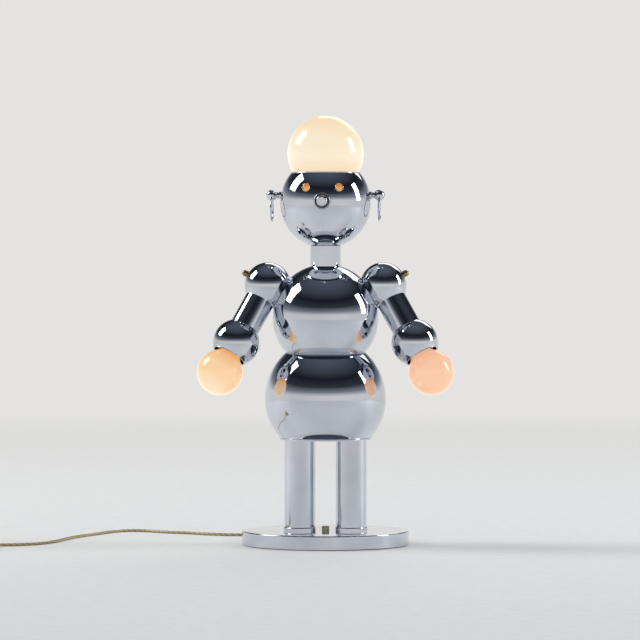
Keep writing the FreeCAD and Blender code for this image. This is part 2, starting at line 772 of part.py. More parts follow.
def pivot_parts():
    """The pivot rods in the torso, their nuts and the small finials outside the shoulder balls."""
    tip = pivot_out + ball_r + running_gap / 3
    low = torso_r - shell_wall - pivot_rod_in
    inner_seat = math.sqrt((torso_r - shell_wall) ** 2 - (small_nut_r + 1) ** 2) - small_nut_h
    outer_seat = torso_r + outer_nut_gap
    rod = cylinder(pivot_rod_r, torso_centre + pivot_dir * low, tip + finial_r - low, pivot_dir)
    nuts = [
        hex_nut(small_nut_r, pivot_rod_r, small_nut_h, torso_centre + pivot_dir * seat, pivot_dir)
        for seat in (inner_seat, outer_seat)
    ]
    nuts += [mirrored(nut) for nut in nuts]
    bead = ball(finial_r, Z_AXIS * (finial_foot_h + finial_bead_rise))
    bead = bead.cut(cylinder(finial_r, -Z_AXIS * finial_r, finial_r))
    finial = cylinder(pivot_washer_r, ORIGIN, finial_foot_h).fuse(bead)
    finial = placed(finial, torso_centre + pivot_dir * tip, pivot_dir)
    finial = finial.cut(cylinder(pivot_rod_r, torso_centre, tip + finial_r, pivot_dir))
    return {
        "pivot_nuts": Part.makeCompound(nuts),
        "pivot_rods": Part.makeCompound([mirrored(rod), rod]),
        "pivot_finials": Part.makeCompound([mirrored(finial), finial]),
    }


# The flex, its gland, coil, tie and plug
def gland_parts():
    """The tapered strain relief that the flex leaves the base through."""
    seat = Vec(0, base_r - base_wall, gland_z)
    taper = placed(Part.makeCone(gland_big_r, gland_tip_r, gland_len), Vec(0, base_r, gland_z), Y_AXIS)
    neck = cylinder(gland_tip_r, seat, base_wall, Y_AXIS)
    head = cylinder(gland_big_r - 1, seat - Y_AXIS * gland_grip / 2, gland_grip / 2, Y_AXIS)
    gland = taper.cut(cylinder(base_r, ORIGIN, base_top_z)).fuse(neck).fuse(head)
    return {"flex_gland": gland.cut(cylinder(flex_r, seat - Y_AXIS * gland_grip, gland_len * 2, Y_AXIS))}


def arc_between(start, tangent, end):
    """The arc from start to end that leaves along tangent."""
    chord = end - start
    along = Vec(chord).normalize()
    aside = tangent - along * tangent.dot(along)
    if aside.Length < 1e-7:
        return Part.LineSegment(start, end).toShape()
    lean = math.atan2(aside.Length, tangent.dot(along))
    middle = (start + end) * 0.5 + aside.normalize() * (chord.Length / 2 * math.tan(lean / 2))
    return Part.Arc(start, middle, end).toShape()


def biarc(start, start_dir, end, end_dir):
    """Two arcs that meet smoothly and join two points with given directions."""
    across, both_dirs = end - start, start_dir + end_dir
    share = 2 * (1 - start_dir.dot(end_dir))
    reach = across.dot(both_dirs)
    if share < 1e-9:
        length = across.dot(across) / (2 * reach)
    else:
        length = (-reach + math.sqrt(reach**2 + share * across.dot(across))) / share
    meet = (start + start_dir * length + end - end_dir * length) * 0.5
    back = arc_between(end, end_dir * -1, meet)
    middle = back.valueAt((back.FirstParameter + back.LastParameter) / 2)
    return [arc_between(start, start_dir, meet), Part.Arc(meet, middle, end).toShape()]


def swept(edges, radius):
    """A round bar along a smooth chain of edges."""
    path = Part.Wire(edges)
    first = path.OrderedEdges[0]
    start = first.valueAt(first.FirstParameter)
    direction = first.tangentAt(first.FirstParameter)
    ring = Part.Wire(Part.makeCircle(radius, start, direction))
    return path.makePipeShell([ring], True, False)


turn_count = 2 * coil_turns + 1
reverse_at = 2 * math.pi * coil_turns
low_layer_z = coil_floor + flex_r
shrink = coil_step / (2 * math.pi)
coil_outer_r = coil_inner_r + shrink * reverse_at


def coil_point(angle):
    """A point of the coil's middle line: in along the low layer, up, and out along the high one."""
    if angle <= reverse_at:
        radius, height = coil_outer_r - shrink * angle, 0
    elif angle <= reverse_at + math.pi:
        climb = angle - reverse_at
        radius = coil_inner_r - shrink * math.sin(climb)
        height = coil_step * (1 - math.cos(climb)) / 2
    else:
        radius, height = coil_inner_r + shrink * (angle - reverse_at - math.pi), coil_step
    turn = math.radians(coil_start_deg) + angle
    return coil_centre + Vec(radius * math.cos(turn), radius * math.sin(turn), low_layer_z + height)


def coil_direction(angle):
    """The direction of the coil's middle line, level at both of its ends."""
    step = 1e-4
    low, high = max(angle - step, 0), min(angle + step, 2 * math.pi * turn_count)
    return (coil_point(high) - coil_point(low)).normalize()


def coil_parts():
    """The coil as one tube, the tie round its turns and the plug on its end."""
    quarters = int(4 * turn_count)
    angles = [math.pi / 2 * i for i in range(quarters + 1)]
    spots = [(coil_point(a), coil_direction(a)) for a in angles]
    entry, entry_dir = spots[0]
    leave, leave_dir = spots[-1]
    edges = [Part.LineSegment(entry - entry_dir * flex_d, entry).toShape()]
    for (a, a_dir), (b, b_dir) in zip(spots, spots[1:]):
        edges += biarc(a, a_dir, b, b_dir)
    tail = leave + leave_dir * flex_d
    edges.append(Part.LineSegment(leave, tail).toShape())
    coil = swept(edges, flex_r)
    length = sum(e.Length for e in edges)
    report_coil(coil, length)
    return {"flex_coil": coil, "coil_tie": coil_tie(), **plug_parts(tail, leave_dir)}, length


def report_coil(coil, length):
    """Print the coil's length, volume check and the least gap of its tube to itself."""
    count, reach = gap_samples, 2 * math.pi * turn_count
    points = [coil_point(reach * i / count) for i in range(count + 1)]
    apart = count // (2 * turn_count)
    least = min(
        (points[i] - points[j]).Length
        for i in range(0, count + 1, 2)
        for j in range(i + int(apart), count + 1)
    )
    share = coil.Volume / (math.pi * flex_r**2 * length)
    print(f"coil {length:.1f} mm long, volume share {share:.4f}, least gap {least - flex_d:.2f} mm")


def coil_tie():
    """The flat tie round all turns of the coil at one place."""
    inside = tie_gap + flex_r
    low, high = coil_inner_r - shrink * math.pi - inside, coil_outer_r + inside
    top = 2 * flex_d + coil_gap + coil_floor + tie_gap
    outer = Part.makeBox(high - low + 2 * tie_t, tie_w, top + tie_t, Vec(low - tie_t, -tie_w / 2, 0))
    inner = Part.makeBox(high - low, tie_w, top - tie_t, Vec(low, -tie_w / 2, tie_t))
    tie = outer.cut(inner)
    tie.rotate(ORIGIN, Z_AXIS, tie_deg)
    tie.translate(coil_centre)
    return tie


def plug_parts(end, direction):
    """The moulded two-pin plug, lying flat on the table where the coil's tube ends."""
    neck = Part.makeCone(flex_r + plug_neck_wall, plug_neck_r, plug_neck_len)
    half_t = end.z
    back_t, back_w = half_t * plug_back_h, plug_w * plug_back_w / 2
    corners = [
        Vec(back_t, -back_w, 0),
        Vec(back_t, back_w, 0),
        Vec(-back_t, back_w, 0),
        Vec(-back_t, -back_w, 0),
    ]
    back = Part.makePolygon([*corners, corners[0]])
    front = Part.makePolygon(
        [Vec(math.copysign(half_t, c.x), math.copysign(plug_w / 2, c.y), plug_len) for c in corners]
        + [Vec(half_t, -plug_w / 2, plug_len)]
    )
    body = Part.makeLoft([back, front], True, True)
    body = body.makeFillet(plug_edge_r, [e for e in body.Edges if abs(e.tangentAt(0).z) > 0.5])
    body.translate(Z_AXIS * plug_neck_len)
    body = body.fuse(neck)
    prongs, slots = [], []
    tip = plug_neck_len + plug_len
    for side in (-1, 1):
        corner = Vec(-prong_w / 2, side * prong_pitch / 2 - prong_t / 2, tip - prong_root)
        prongs.append(Part.makeBox(prong_w, prong_t, prong_root + prong_len, corner))
    for prong in prongs:
        body = body.cut(prong)
    place = FreeCAD.Placement(end, plug_turn(direction))
    shapes = {"plug_body": body, "plug_prongs": Part.makeCompound(prongs)}
    for shape in shapes.values():
        shape.Placement = place
    return shapes


def plug_turn(direction):
    """The turn that lays a piece's Z along a level direction and its X upright."""
    side = direction.cross(Z_AXIS)
    return FreeCAD.Rotation(
        FreeCAD.Matrix(
            0, side.x, direction.x, 0,
            0, side.y, direction.y, 0,
            1, side.z, direction.z, 0,
            0, 0, 0, 1,
        )
    )


def rounded_path(points):
    """Straight runs joined by tangent arcs, as edges, and the arcs' radii."""
    edges, radii = [], []
    here = points[0]
    for before, corner, after in zip(points, points[1:], points[2:]):
        inward, outward = corner - before, after - corner
        turn = inward.getAngle(outward)
        trim = bend_share * min(inward.Length, outward.Length)
        radii.append(trim / math.tan(turn / 2))
        start = corner - Vec(inward).normalize() * trim
        end = corner + Vec(outward).normalize() * trim
        edges.append(Part.LineSegment(here, start).toShape())
        edges.append(arc_between(start, Vec(inward).normalize(), end))
        here = end
    edges.append(Part.LineSegment(here, points[-1]).toShape())
    return edges, radii


def flex_lead():
    """The free stretch of flex, from the gland's mouth along the table to the coil."""
    gland_mouth = Vec(0, base_r + gland_len, gland_z)
    coil_mouth = coil_point(0) - coil_direction(0) * flex_d
    run_in = coil_mouth - coil_direction(0) * run_in_len
    points = [gland_mouth] + [Vec(*p) for p in flex_route] + [run_in, coil_mouth]
    edges, radii = rounded_path(points)
    lead = swept(edges, flex_r)
    length = sum(e.Length for e in edges)
    share = lead.Volume / (math.pi * flex_r**2 * length)
    print("lead radii " + " ".join(f"{r:.0f}" for r in radii))
    print("lead runs " + " ".join(f"{(b - a).Length:.0f}" for a, b in zip(points, points[1:])))
    print(f"lead {length:.1f} mm long, volume share {share:.4f}")
    return lead, length


def flex_parts():
    """The gland, the free lead, the coil with its tie, and the plug."""
    lead, lead_length = flex_lead()
    coil, coil_length = coil_parts()
    print(f"flex {lead_length + coil_length:.0f} mm in all")
    return {**gland_parts(), "flex_lead": lead, **coil}


def every_part():
    """All pieces under their names."""
    parts = base_parts()
    for piece, make in (("leg_tube", leg_tube), ("foot_collar", foot_collar), ("leg_rod", leg_rod)):
        for side, shape in both(make).items():
            parts[f"{piece}_{side}"] = shape
    parts.update(leg_fasteners())
    parts.update(hip_parts())
    parts["torso_ball"] = torso_ball()
    parts["neck_tube"] = neck_tube()
    parts.update(centre_pipe_parts())
    parts.update(head_light())
    parts.update(head_parts())
    parts.update(pivot_parts())
    parts.update(arm_parts())
    parts.update(flex_parts())
    return parts


os.makedirs("parts", exist_ok=True)
for name, shape in every_part().items():
    shape.exportStep(f"parts/{name}.step")
    print(f"{name}: {len(shape.Solids)} solid, {shape.Volume / 1000:.2f} cm3, valid {shape.isValid()}")
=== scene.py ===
"""Looks of the figure-shaped table lamp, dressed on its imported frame.

Metres. The figure faces -Y and stands on the floor at Z 0. Left and right are the viewer's.
"""

import json
import logging
import math
from dataclasses import dataclass, field
from enum import Enum
from typing import Any, Iterable, Sequence

import bpy
from mathutils import Matrix, Vector

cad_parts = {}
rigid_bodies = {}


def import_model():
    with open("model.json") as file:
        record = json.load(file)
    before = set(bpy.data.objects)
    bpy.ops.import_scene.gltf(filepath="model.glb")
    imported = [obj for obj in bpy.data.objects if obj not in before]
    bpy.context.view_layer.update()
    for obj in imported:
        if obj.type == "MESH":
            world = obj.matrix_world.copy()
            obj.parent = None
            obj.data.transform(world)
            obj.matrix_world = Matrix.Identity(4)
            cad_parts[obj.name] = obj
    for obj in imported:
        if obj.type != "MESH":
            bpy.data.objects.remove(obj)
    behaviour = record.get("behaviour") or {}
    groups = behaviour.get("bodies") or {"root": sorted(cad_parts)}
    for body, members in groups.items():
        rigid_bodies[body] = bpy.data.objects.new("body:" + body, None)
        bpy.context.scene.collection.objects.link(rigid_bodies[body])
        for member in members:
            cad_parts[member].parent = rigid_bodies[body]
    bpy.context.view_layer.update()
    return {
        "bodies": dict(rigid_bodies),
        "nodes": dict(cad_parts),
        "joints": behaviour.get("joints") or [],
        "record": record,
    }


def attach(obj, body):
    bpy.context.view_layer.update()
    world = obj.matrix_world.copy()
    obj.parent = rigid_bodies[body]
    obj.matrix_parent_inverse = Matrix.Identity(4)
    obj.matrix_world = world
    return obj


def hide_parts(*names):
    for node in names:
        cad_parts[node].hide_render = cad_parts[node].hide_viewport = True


LOG = logging.getLogger("lamp")
MM = 0.001
ROUND_STEPS = 128
WIRE_STEPS = 12

Colour = tuple[float, float, float, float]


class Side(Enum):
    """A side of the figure, as the viewer sees it."""

    LEFT = -1
    RIGHT = 1

    @property
    def word(self) -> str:
        """The side as it stands in node and body names."""
        return self.name.lower()


class Sheen(Enum):
    """How a turned or drawn metal is finished: roughness at its smoothest and roughest."""

    MIRROR = (0.035, 0.075)
    SATIN = (0.2, 0.34)
    PLAIN = (0.3, 0.46)


# Nodes and sockets
def linear(hex_value: str, alpha: float = 1.0) -> Colour:
    """Turn an sRGB hex value into a linear colour.

    Args:
        hex_value: The colour as six hex digits.
        alpha: The colour's fourth part.

    Returns:
        The linear red, green and blue, and alpha.
    """
    parts = [int(hex_value[i : i + 2], 16) / 255 for i in (0, 2, 4)]
    red, green, blue = (c / 12.92 if c <= 0.04045 else ((c + 0.055) / 1.055) ** 2.4 for c in parts)
    return (red, green, blue, alpha)


def put(tree: bpy.types.NodeTree, node: Any, inputs: dict[Any, Any]) -> None:
    """Link or set a node's inputs.

    Args:
        tree: The node's tree.
        node: The node.
        inputs: Values or output sockets, by input name or number.
    """
    for name, value in inputs.items():
        if isinstance(value, bpy.types.NodeSocket):
            tree.links.new(value, node.inputs[name])
        else:
            node.inputs[name].default_value = value


def add_node(
    tree: bpy.types.NodeTree, kind: str, inputs: dict[Any, Any] | None = None, **settings: Any
) -> Any:
    """Add a node, with its settings and its inputs.

    Args:
        tree: The tree that gets the node.
        kind: The node's type name.
        inputs: Values or output sockets, by input name or number.
        settings: Values of the node's own properties.

    Returns:
        The new node.
    """
    node = tree.nodes.new(kind)
    for name, value in settings.items():
        setattr(node, name, value)
    put(tree, node, inputs or {})
    return node


def ramp(tree: bpy.types.NodeTree, factor: bpy.types.NodeSocket, stops: Sequence[tuple[float, str]]) -> Any:
    """Add a colour ramp.

    Args:
        tree: The tree that gets the ramp.
        factor: The socket that drives it.
        stops: Places from 0 to 1 and their colours as hex digits.

    Returns:
        The ramp's colour socket.
    """
    node = add_node(tree, "ShaderNodeValToRGB", {"Fac": factor})
    elements = node.color_ramp.elements
    while len(elements) < len(stops):
        elements.new(1.0)
    for element, (place, hex_value) in zip(elements, stops):
        element.position = place
        element.color = linear(hex_value)
    return node.outputs["Color"]


def span(tree: bpy.types.NodeTree, factor: bpy.types.NodeSocket, low: Any, high: Any) -> Any:
    """Add a map from 0..1 to a range and return its socket.

    Args:
        tree: The tree that gets the node.
        factor: The socket to map.
        low: The result at 0, as a number or a socket.
        high: The result at 1, as a number or a socket.

    Returns:
        The socket with the mapped value.
    """
    inputs = {"Value": factor, "To Min": low, "To Max": high}
    return add_node(tree, "ShaderNodeMapRange", inputs).outputs["Result"]


# Finishes
@dataclass(frozen=True)
class Finish:
    """A material and the record slot that it stands for.

    Attributes:
        name: The real material and process.
        slot: The record's material slot; it is not used.
    """

    name: str
    slot: str

    def make(self) -> bpy.types.Material:
        """Build the material.

        Returns:
            The new material, with nodes.
        """
        material = bpy.data.materials.new(self.name)
        material.use_nodes = True
        tree = material.node_tree
        shader = tree.nodes["Principled BSDF"]
        self.fill(tree, shader)
        return material

    def fill(self, tree: bpy.types.NodeTree, shader: Any) -> None:
        """Fill the material's tree.

        Args:
            tree: The material's tree.
            shader: Its principled shader.
        """
        raise NotImplementedError

    def noise(
        self,
        tree: bpy.types.NodeTree,
        size_mm: float,
        detail: float = 4.0,
        stretch: Sequence[float] = (1, 1, 1),
    ) -> Any:
        """Add a noise whose grain has a size in millimetres.

        Args:
            tree: The material's tree.
            size_mm: The grain's size.
            detail: The noise's octaves.
            stretch: How much finer the grain is along each axis.

        Returns:
            The noise's value socket.
        """
        place = add_node(tree, "ShaderNodeTexCoord").outputs["Object"]
        scaled = add_node(tree, "ShaderNodeMapping", {"Vector": place, "Scale": tuple(stretch)})
        inputs = {"Vector": scaled.outputs[0], "Scale": 1 / (size_mm * MM), "Detail": detail}
        return add_node(tree, "ShaderNodeTexNoise", inputs).outputs["Fac"]

    def bump(
        self, tree: bpy.types.NodeTree, shader: Any, height: Any, depth_mm: float, strength: float
    ) -> None:
        """Give the shader a bump.

        Args:
            tree: The material's tree.
            shader: The shader that gets it.
            height: The socket with the height.
            depth_mm: The bump's depth.
            strength: How strongly it shades.
        """
        inputs = {"Height": height, "Distance": depth_mm * MM, "Strength": strength}
        put(tree, shader, {"Normal": add_node(tree, "ShaderNodeBump", inputs).outputs["Normal"]})


@dataclass(frozen=True)
class Metal(Finish):
    """A bare or plated metal.

    Attributes:
        light: The colour where it is cleanest.
        dark: The colour where it is dullest.
        sheen: How it is finished.
        grain_mm: The size of its patches.
        wave: The strength of the surface's slight unevenness.
        wave_mm: The depth of that unevenness.
    """

    light: str = "D9DDE4"
    dark: str = "C6CBD4"
    sheen: Sheen = Sheen.MIRROR
    grain_mm: float = 60.0
    wave: float = 0.0
    wave_mm: float = 0.4

    def fill(self, tree: bpy.types.NodeTree, shader: Any) -> None:
        """Fill the tree with a metal whose colour and roughness change in patches.

        Args:
            tree: The material's tree.
            shader: Its principled shader.
        """
        colour = ramp(tree, self.noise(tree, self.grain_mm), [(0.3, self.dark), (0.7, self.light)])
        roughness = span(tree, self.noise(tree, self.grain_mm / 4), *self.sheen.value)
        put(tree, shader, {"Base Color": colour, "Roughness": roughness, "Metallic": 1.0})
        if self.wave:
            height = self.noise(tree, self.grain_mm / 2, detail=1.0)
            self.bump(tree, shader, height, self.wave_mm, self.wave)


@dataclass(frozen=True)
class CastIron(Finish):
    """Rough cast iron under thin dark paint.

    Attributes:
        grain_mm: The size of the sand's grain in its skin.
        depth_mm: The depth of that grain.
        roughness: The paint's roughness.
    """

    grain_mm: float = 1.6
    depth_mm: float = 0.5
    roughness: float = 0.72

    def fill(self, tree: bpy.types.NodeTree, shader: Any) -> None:
        """Fill the tree with grainy iron.

        Args:
            tree: The material's tree.
            shader: Its principled shader.
        """
        grain = self.noise(tree, self.grain_mm, detail=8.0)
        colour = ramp(tree, grain, [(0.3, "1E1F21"), (0.75, "3A3B3D")])
        put(tree, shader, {"Base Color": colour, "Roughness": self.roughness})
        self.bump(tree, shader, grain, self.depth_mm, 0.6)


@dataclass(frozen=True)
class Felt(Finish):
    """Pressed wool felt, whose fibres are drawn several times their real width so that they show.

    Attributes:
        fibre_mm: The fibres' drawn width.
        depth_mm: How deep the nap is.
        roughness: The nap's roughness.
        nap: The strength of its soft edge light.
    """

    fibre_mm: float = 0.9
    depth_mm: float = 0.3
    roughness: float = 0.95
    nap: float = 0.3

    def fill(self, tree: bpy.types.NodeTree, shader: Any) -> None:
        """Fill the tree with fibres.

        Args:
            tree: The material's tree.
            shader: Its principled shader.
        """
        fibres = self.noise(tree, self.fibre_mm, detail=10.0, stretch=(1.0, 2.2, 1.0))
        colour = ramp(tree, fibres, [(0.25, "141414"), (0.8, "2E2D2C")])
        put(tree, shader, {"Base Color": colour, "Roughness": self.roughness, "Sheen Weight": self.nap})
        self.bump(tree, shader, fibres, self.depth_mm, 0.7)


@dataclass(frozen=True)
class Plastic(Finish):
    """A moulded plastic.

    Attributes:
        light: The colour at its lightest.
        dark: The colour at its darkest.
        roughness: The surface's roughness.
        grain_mm: The size of its mottling.
        glow_through: How much light passes into it.
        skin_mm: The size of the fine grain in its skin.
        skin_depth_mm: The depth of that grain.
    """

    light: str = "5A3A26"
    dark: str = "3C2417"
    roughness: float = 0.3
    grain_mm: float = 3.0
    glow_through: float = 0.0
    skin_mm: float = 0.5
    skin_depth_mm: float = 0.05

    def fill(self, tree: bpy.types.NodeTree, shader: Any) -> None:
        """Fill the tree with mottled plastic under a fine skin.

        Args:
            tree: The material's tree.
            shader: Its principled shader.
        """
        grain = self.noise(tree, self.grain_mm, detail=6.0)
        inputs = {
            "Base Color": ramp(tree, grain, [(0.3, self.dark), (0.7, self.light)]),
            "Roughness": self.roughness,
            "Subsurface Weight": self.glow_through,
            "Subsurface Radius": (2.0, 1.4, 0.8),
            "Subsurface Scale": MM,
        }
        put(tree, shader, inputs)
        self.bump(tree, shader, self.noise(tree, self.skin_mm), self.skin_depth_mm, 0.15)


@dataclass(frozen=True)
class Paper(Finish):
    """Paper glued round a tie's wire.

    Attributes:
        fibre_mm: The size of its fibre marks.
        depth_mm: How far they stand up.
        roughness: The paper's roughness.
    """

    fibre_mm: float = 1.2
    depth_mm: float = 0.08
    roughness: float = 0.85

    def fill(self, tree: bpy.types.NodeTree, shader: Any) -> None:
        """Fill the tree with paper fibres.

        Args:
            tree: The material's tree.
            shader: Its principled shader.
        """
        fibres = self.noise(tree, self.fibre_mm, detail=9.0, stretch=(1.0, 1.0, 3.0))
        colour = ramp(tree, fibres, [(0.3, "D8D2C2"), (0.75, "EEEADF")])
        put(tree, shader, {"Base Color": colour, "Roughness": self.roughness})
        self.bump(tree, shader, fibres, self.depth_mm, 0.4)


@dataclass(frozen=True)
class LitOpal(Finish):
    """The opal glass of a lit globe bulb, glowing most round its middle.

    Attributes:
        middle: The glow where the filament is near.
        rim: The glow at the neck.
        crown: The glow at the far end.
        centre: The bulb's centre.
        axis: The direction from its cap to its crown.
        radius: The globe's radius.
        strength: The glow's strength.
        neck_share: Where the neck's glow starts, in radii below the centre.
        cloud_share: How large the glow's faint clouds are, in radii.
    """

    middle: str = "FFF0D4"
    rim: str = "F2C08C"
    crown: str = "FFE0B8"
    centre: tuple[float, float, float] = (0.0, 0.0, 0.0)
    axis: tuple[float, float, float] = (0.0, 0.0, 1.0)
    radius: float = 0.0475
    strength: float = 0.9
    neck_share: float = 1.3
    cloud_share: float = 0.9

    def fill(self, tree: bpy.types.NodeTree, shader: Any) -> None:
        """Fill the tree with a glow that changes from the neck to the crown.

        Args:
            tree: The material's tree.
            shader: Its principled shader.
        """
        place = add_node(tree, "ShaderNodeTexCoord").outputs["Object"]
        offset = add_node(tree, "ShaderNodeVectorMath", {0: place, 1: self.centre}, operation="SUBTRACT")
        pair = {0: offset.outputs["Vector"], 1: self.axis}
        along = add_node(tree, "ShaderNodeVectorMath", pair, operation="DOT_PRODUCT").outputs["Value"]
        reach = {"Value": along, "From Min": -self.neck_share * self.radius, "From Max": self.radius}
        height = add_node(tree, "ShaderNodeMapRange", reach).outputs["Result"]
        cloud = span(tree, self.noise(tree, self.cloud_share * self.radius / MM, detail=2.0), -0.05, 0.05)
        mixed = add_node(tree, "ShaderNodeMath", {0: height, 1: cloud}, operation="ADD").outputs["Value"]
        stops = [(0.1, self.rim), (0.5, self.middle), (0.72, self.middle), (1.0, self.crown)]
        inputs = {
            "Emission Color": ramp(tree, mixed, stops),
            "Emission Strength": self.strength,
            "Base Color": linear("4A4238"),
            "Roughness": 0.2,
            "Coat Weight": 0.15,
        }
        put(tree, shader, inputs)


@dataclass(frozen=True)
class AmberLens(Finish):
    """Moulded amber glass lit from behind, brighter towards its lower rim.

    Attributes:
        centre_z: The height of the lens's middle.
        reach: From its middle to its rim.
        strength: The glow's strength.
        swirl_mm: The size of the swirls in the glass.
    """

    centre_z: float = 0.4456
    reach: float = 0.0052
    strength: float = 0.8
    swirl_mm: float = 4.0

    def fill(self, tree: bpy.types.NodeTree, shader: Any) -> None:
        """Fill the tree with a glow that darkens upwards.

        Args:
            tree: The material's tree.
            shader: Its principled shader.
        """
        place = add_node(tree, "ShaderNodeTexCoord").outputs["Object"]
        height = add_node(tree, "ShaderNodeSeparateXYZ", {0: place}).outputs["Z"]
        ends = {"From Min": self.centre_z - self.reach, "From Max": self.centre_z + self.reach}
        low = add_node(tree, "ShaderNodeMapRange", {"Value": height, **ends}).outputs["Result"]
        stops = [(0.0, "FFD28C"), (0.3, "F9B45C"), (0.65, "E2913C"), (1.0, "B56A2A")]
        inputs = {
            "Emission Color": ramp(tree, low, stops),
            "Emission Strength": self.strength,
            "Base Color": linear("6E3C14"),
            "Roughness": span(tree, self.noise(tree, self.swirl_mm), 0.06, 0.16),
            "Coat Weight": 0.6,
        }
        put(tree, shader, inputs)


@dataclass(frozen=True)
class ClearFlex(Finish):
    """Clear gold-tinted plastic over a twisted pair of fine copper cores.

    Attributes:
        lay_mm: The length of one twist of the cores.
        roughness: The plastic's roughness.
    """

    lay_mm: float = 16.0
    roughness: float = 0.22

    def fill(self, tree: bpy.types.NodeTree, shader: Any) -> None:
        """Fill the tree with the twist of the cores, read from the flex's own attributes.

        Args:
            tree: The material's tree.
            shader: Its principled shader.
        """
        along = add_node(tree, "ShaderNodeAttribute", attribute_name="along").outputs["Fac"]
        ring = add_node(tree, "ShaderNodeAttribute", attribute_name="ring").outputs["Vector"]
        twist = 2 * math.pi / (self.lay_mm * MM)
        turn = add_node(tree, "ShaderNodeMath", {0: along, 1: twist}, operation="MULTIPLY").outputs["Value"]
        cosine = add_node(tree, "ShaderNodeMath", {0: turn}, operation="COSINE").outputs["Value"]
        sine = add_node(tree, "ShaderNodeMath", {0: turn}, operation="SINE").outputs["Value"]
        spoke = add_node(tree, "ShaderNodeCombineXYZ", {"X": cosine, "Y": sine}).outputs["Vector"]
        facing = add_node(tree, "ShaderNodeVectorMath", {0: ring, 1: spoke}, operation="DOT_PRODUCT")
        core = add_node(tree, "ShaderNodeMath", {0: facing.outputs["Value"]}, operation="ABSOLUTE")
        stops = [(0.0, "8E8058"), (0.45, "A8986A"), (0.85, "B9A877"), (1.0, "C6B588")]
        inputs = {
            "Base Color": ramp(tree, core.outputs["Value"], stops),
            "Roughness": self.roughness,
            "Subsurface Weight": 0.35,
            "Subsurface Radius": (2.0, 1.4, 0.7),
            "Subsurface Scale": MM,
            "Coat Weight": 0.4,
        }
        put(tree, shader, inputs)


# A mirror with a faint unevenness, so that straight reflections waver a little
CHROME = Metal("Polished chrome on spun brass", "chrome", wave=0.02)
# Darker and softer than the balls: its dark colour is painted shade in the dish behind the knob, and its
# gloss is satin
SHADED_CHROME = Metal(
    "Dulled chrome on turned brass",
    "chrome",
    light="6C717A",
    dark="40444C",
    sheen=Sheen.SATIN,
    grain_mm=8.0,
)
# Warmer and duller than chrome
NICKEL = Metal(
    "Nickel-plated steel", "nickel", light="B5B0A2", dark="8E897B", sheen=Sheen.SATIN, grain_mm=3.0
)
# A flat grey, with cloudy patches
ZINC = Metal(
    "Zinc-plated steel", "zinc_steel", light="B9BCC0", dark="96999E", sheen=Sheen.PLAIN, grain_mm=5.0
)
# Pale, with a soft sheen from the drawing
CAP = Metal(
    "Drawn aluminium cap", "cap_metal", light="C8C9CB", dark="A9AAAD", sheen=Sheen.SATIN, grain_mm=8.0
)
# Brown-gold where it has tarnished
BRASS = Metal("Turned brass, aged", "brass", light="B89C68", dark="8A7146", sheen=Sheen.SATIN, grain_mm=4.0)
# Brighter, because the socket rubs the pins clean
PIN = Metal("Turned brass pins", "brass", light="D2B070", dark="AC8A4C", sheen=Sheen.SATIN, grain_mm=5.0)
# Dark and grainy, with no gloss
IRON = CastIron("Cast iron, painted", "cast_iron")
# Black and soft, with a faint light edge
FELT = Felt("Pressed wool felt", "felt")
# Brown and slightly mottled, with a soft gloss
PHENOLIC = Plastic("Moulded phenolic", "phenolic")
# The pair of cores shows through as a slow golden twist
FLEX = ClearFlex("Clear gold PVC over copper cores", "flex_pvc")
# Like the flex, but milky
SLEEVE = Plastic(
    "Moulded soft PVC, gold",
    "flex_pvc",
    light="B79F62",
    dark="A18A50",
    roughness=0.35,
    glow_through=0.3,
)
# Off-white and matt, with fibres that are drawn coarse so that they show
TIE = Paper("Paper-covered wire tie", "tie_paper")
# The sleeve's gold, a little harder
PLUG = Plastic(
    "Moulded PVC plug, gold",
    "plug_pvc",
    light="B59D60",
    dark="9C854C",
    roughness=0.38,
    glow_through=0.25,
)


# Mesh and node-group helpers
def new_object(name: str, data: bpy.types.ID) -> bpy.types.Object:
    """Put data into the scene as an object at the origin.

    Args:
        name: The object's name.
        data: Its mesh or curve.

    Returns:
        The object.
    """
    made = bpy.data.objects.new(name, data)
    bpy.context.scene.collection.objects.link(made)
    return made


def line_mesh(name: str, points: Sequence[Vector]) -> bpy.types.Mesh:
    """Make a chain of edges through points.

    Args:
        name: The mesh's name.
        points: The places it goes through.

    Returns:
        The mesh.
    """
    mesh = bpy.data.meshes.new(name)
    mesh.from_pydata([tuple(p) for p in points], [(i, i + 1) for i in range(len(points) - 1)], [])
    return mesh


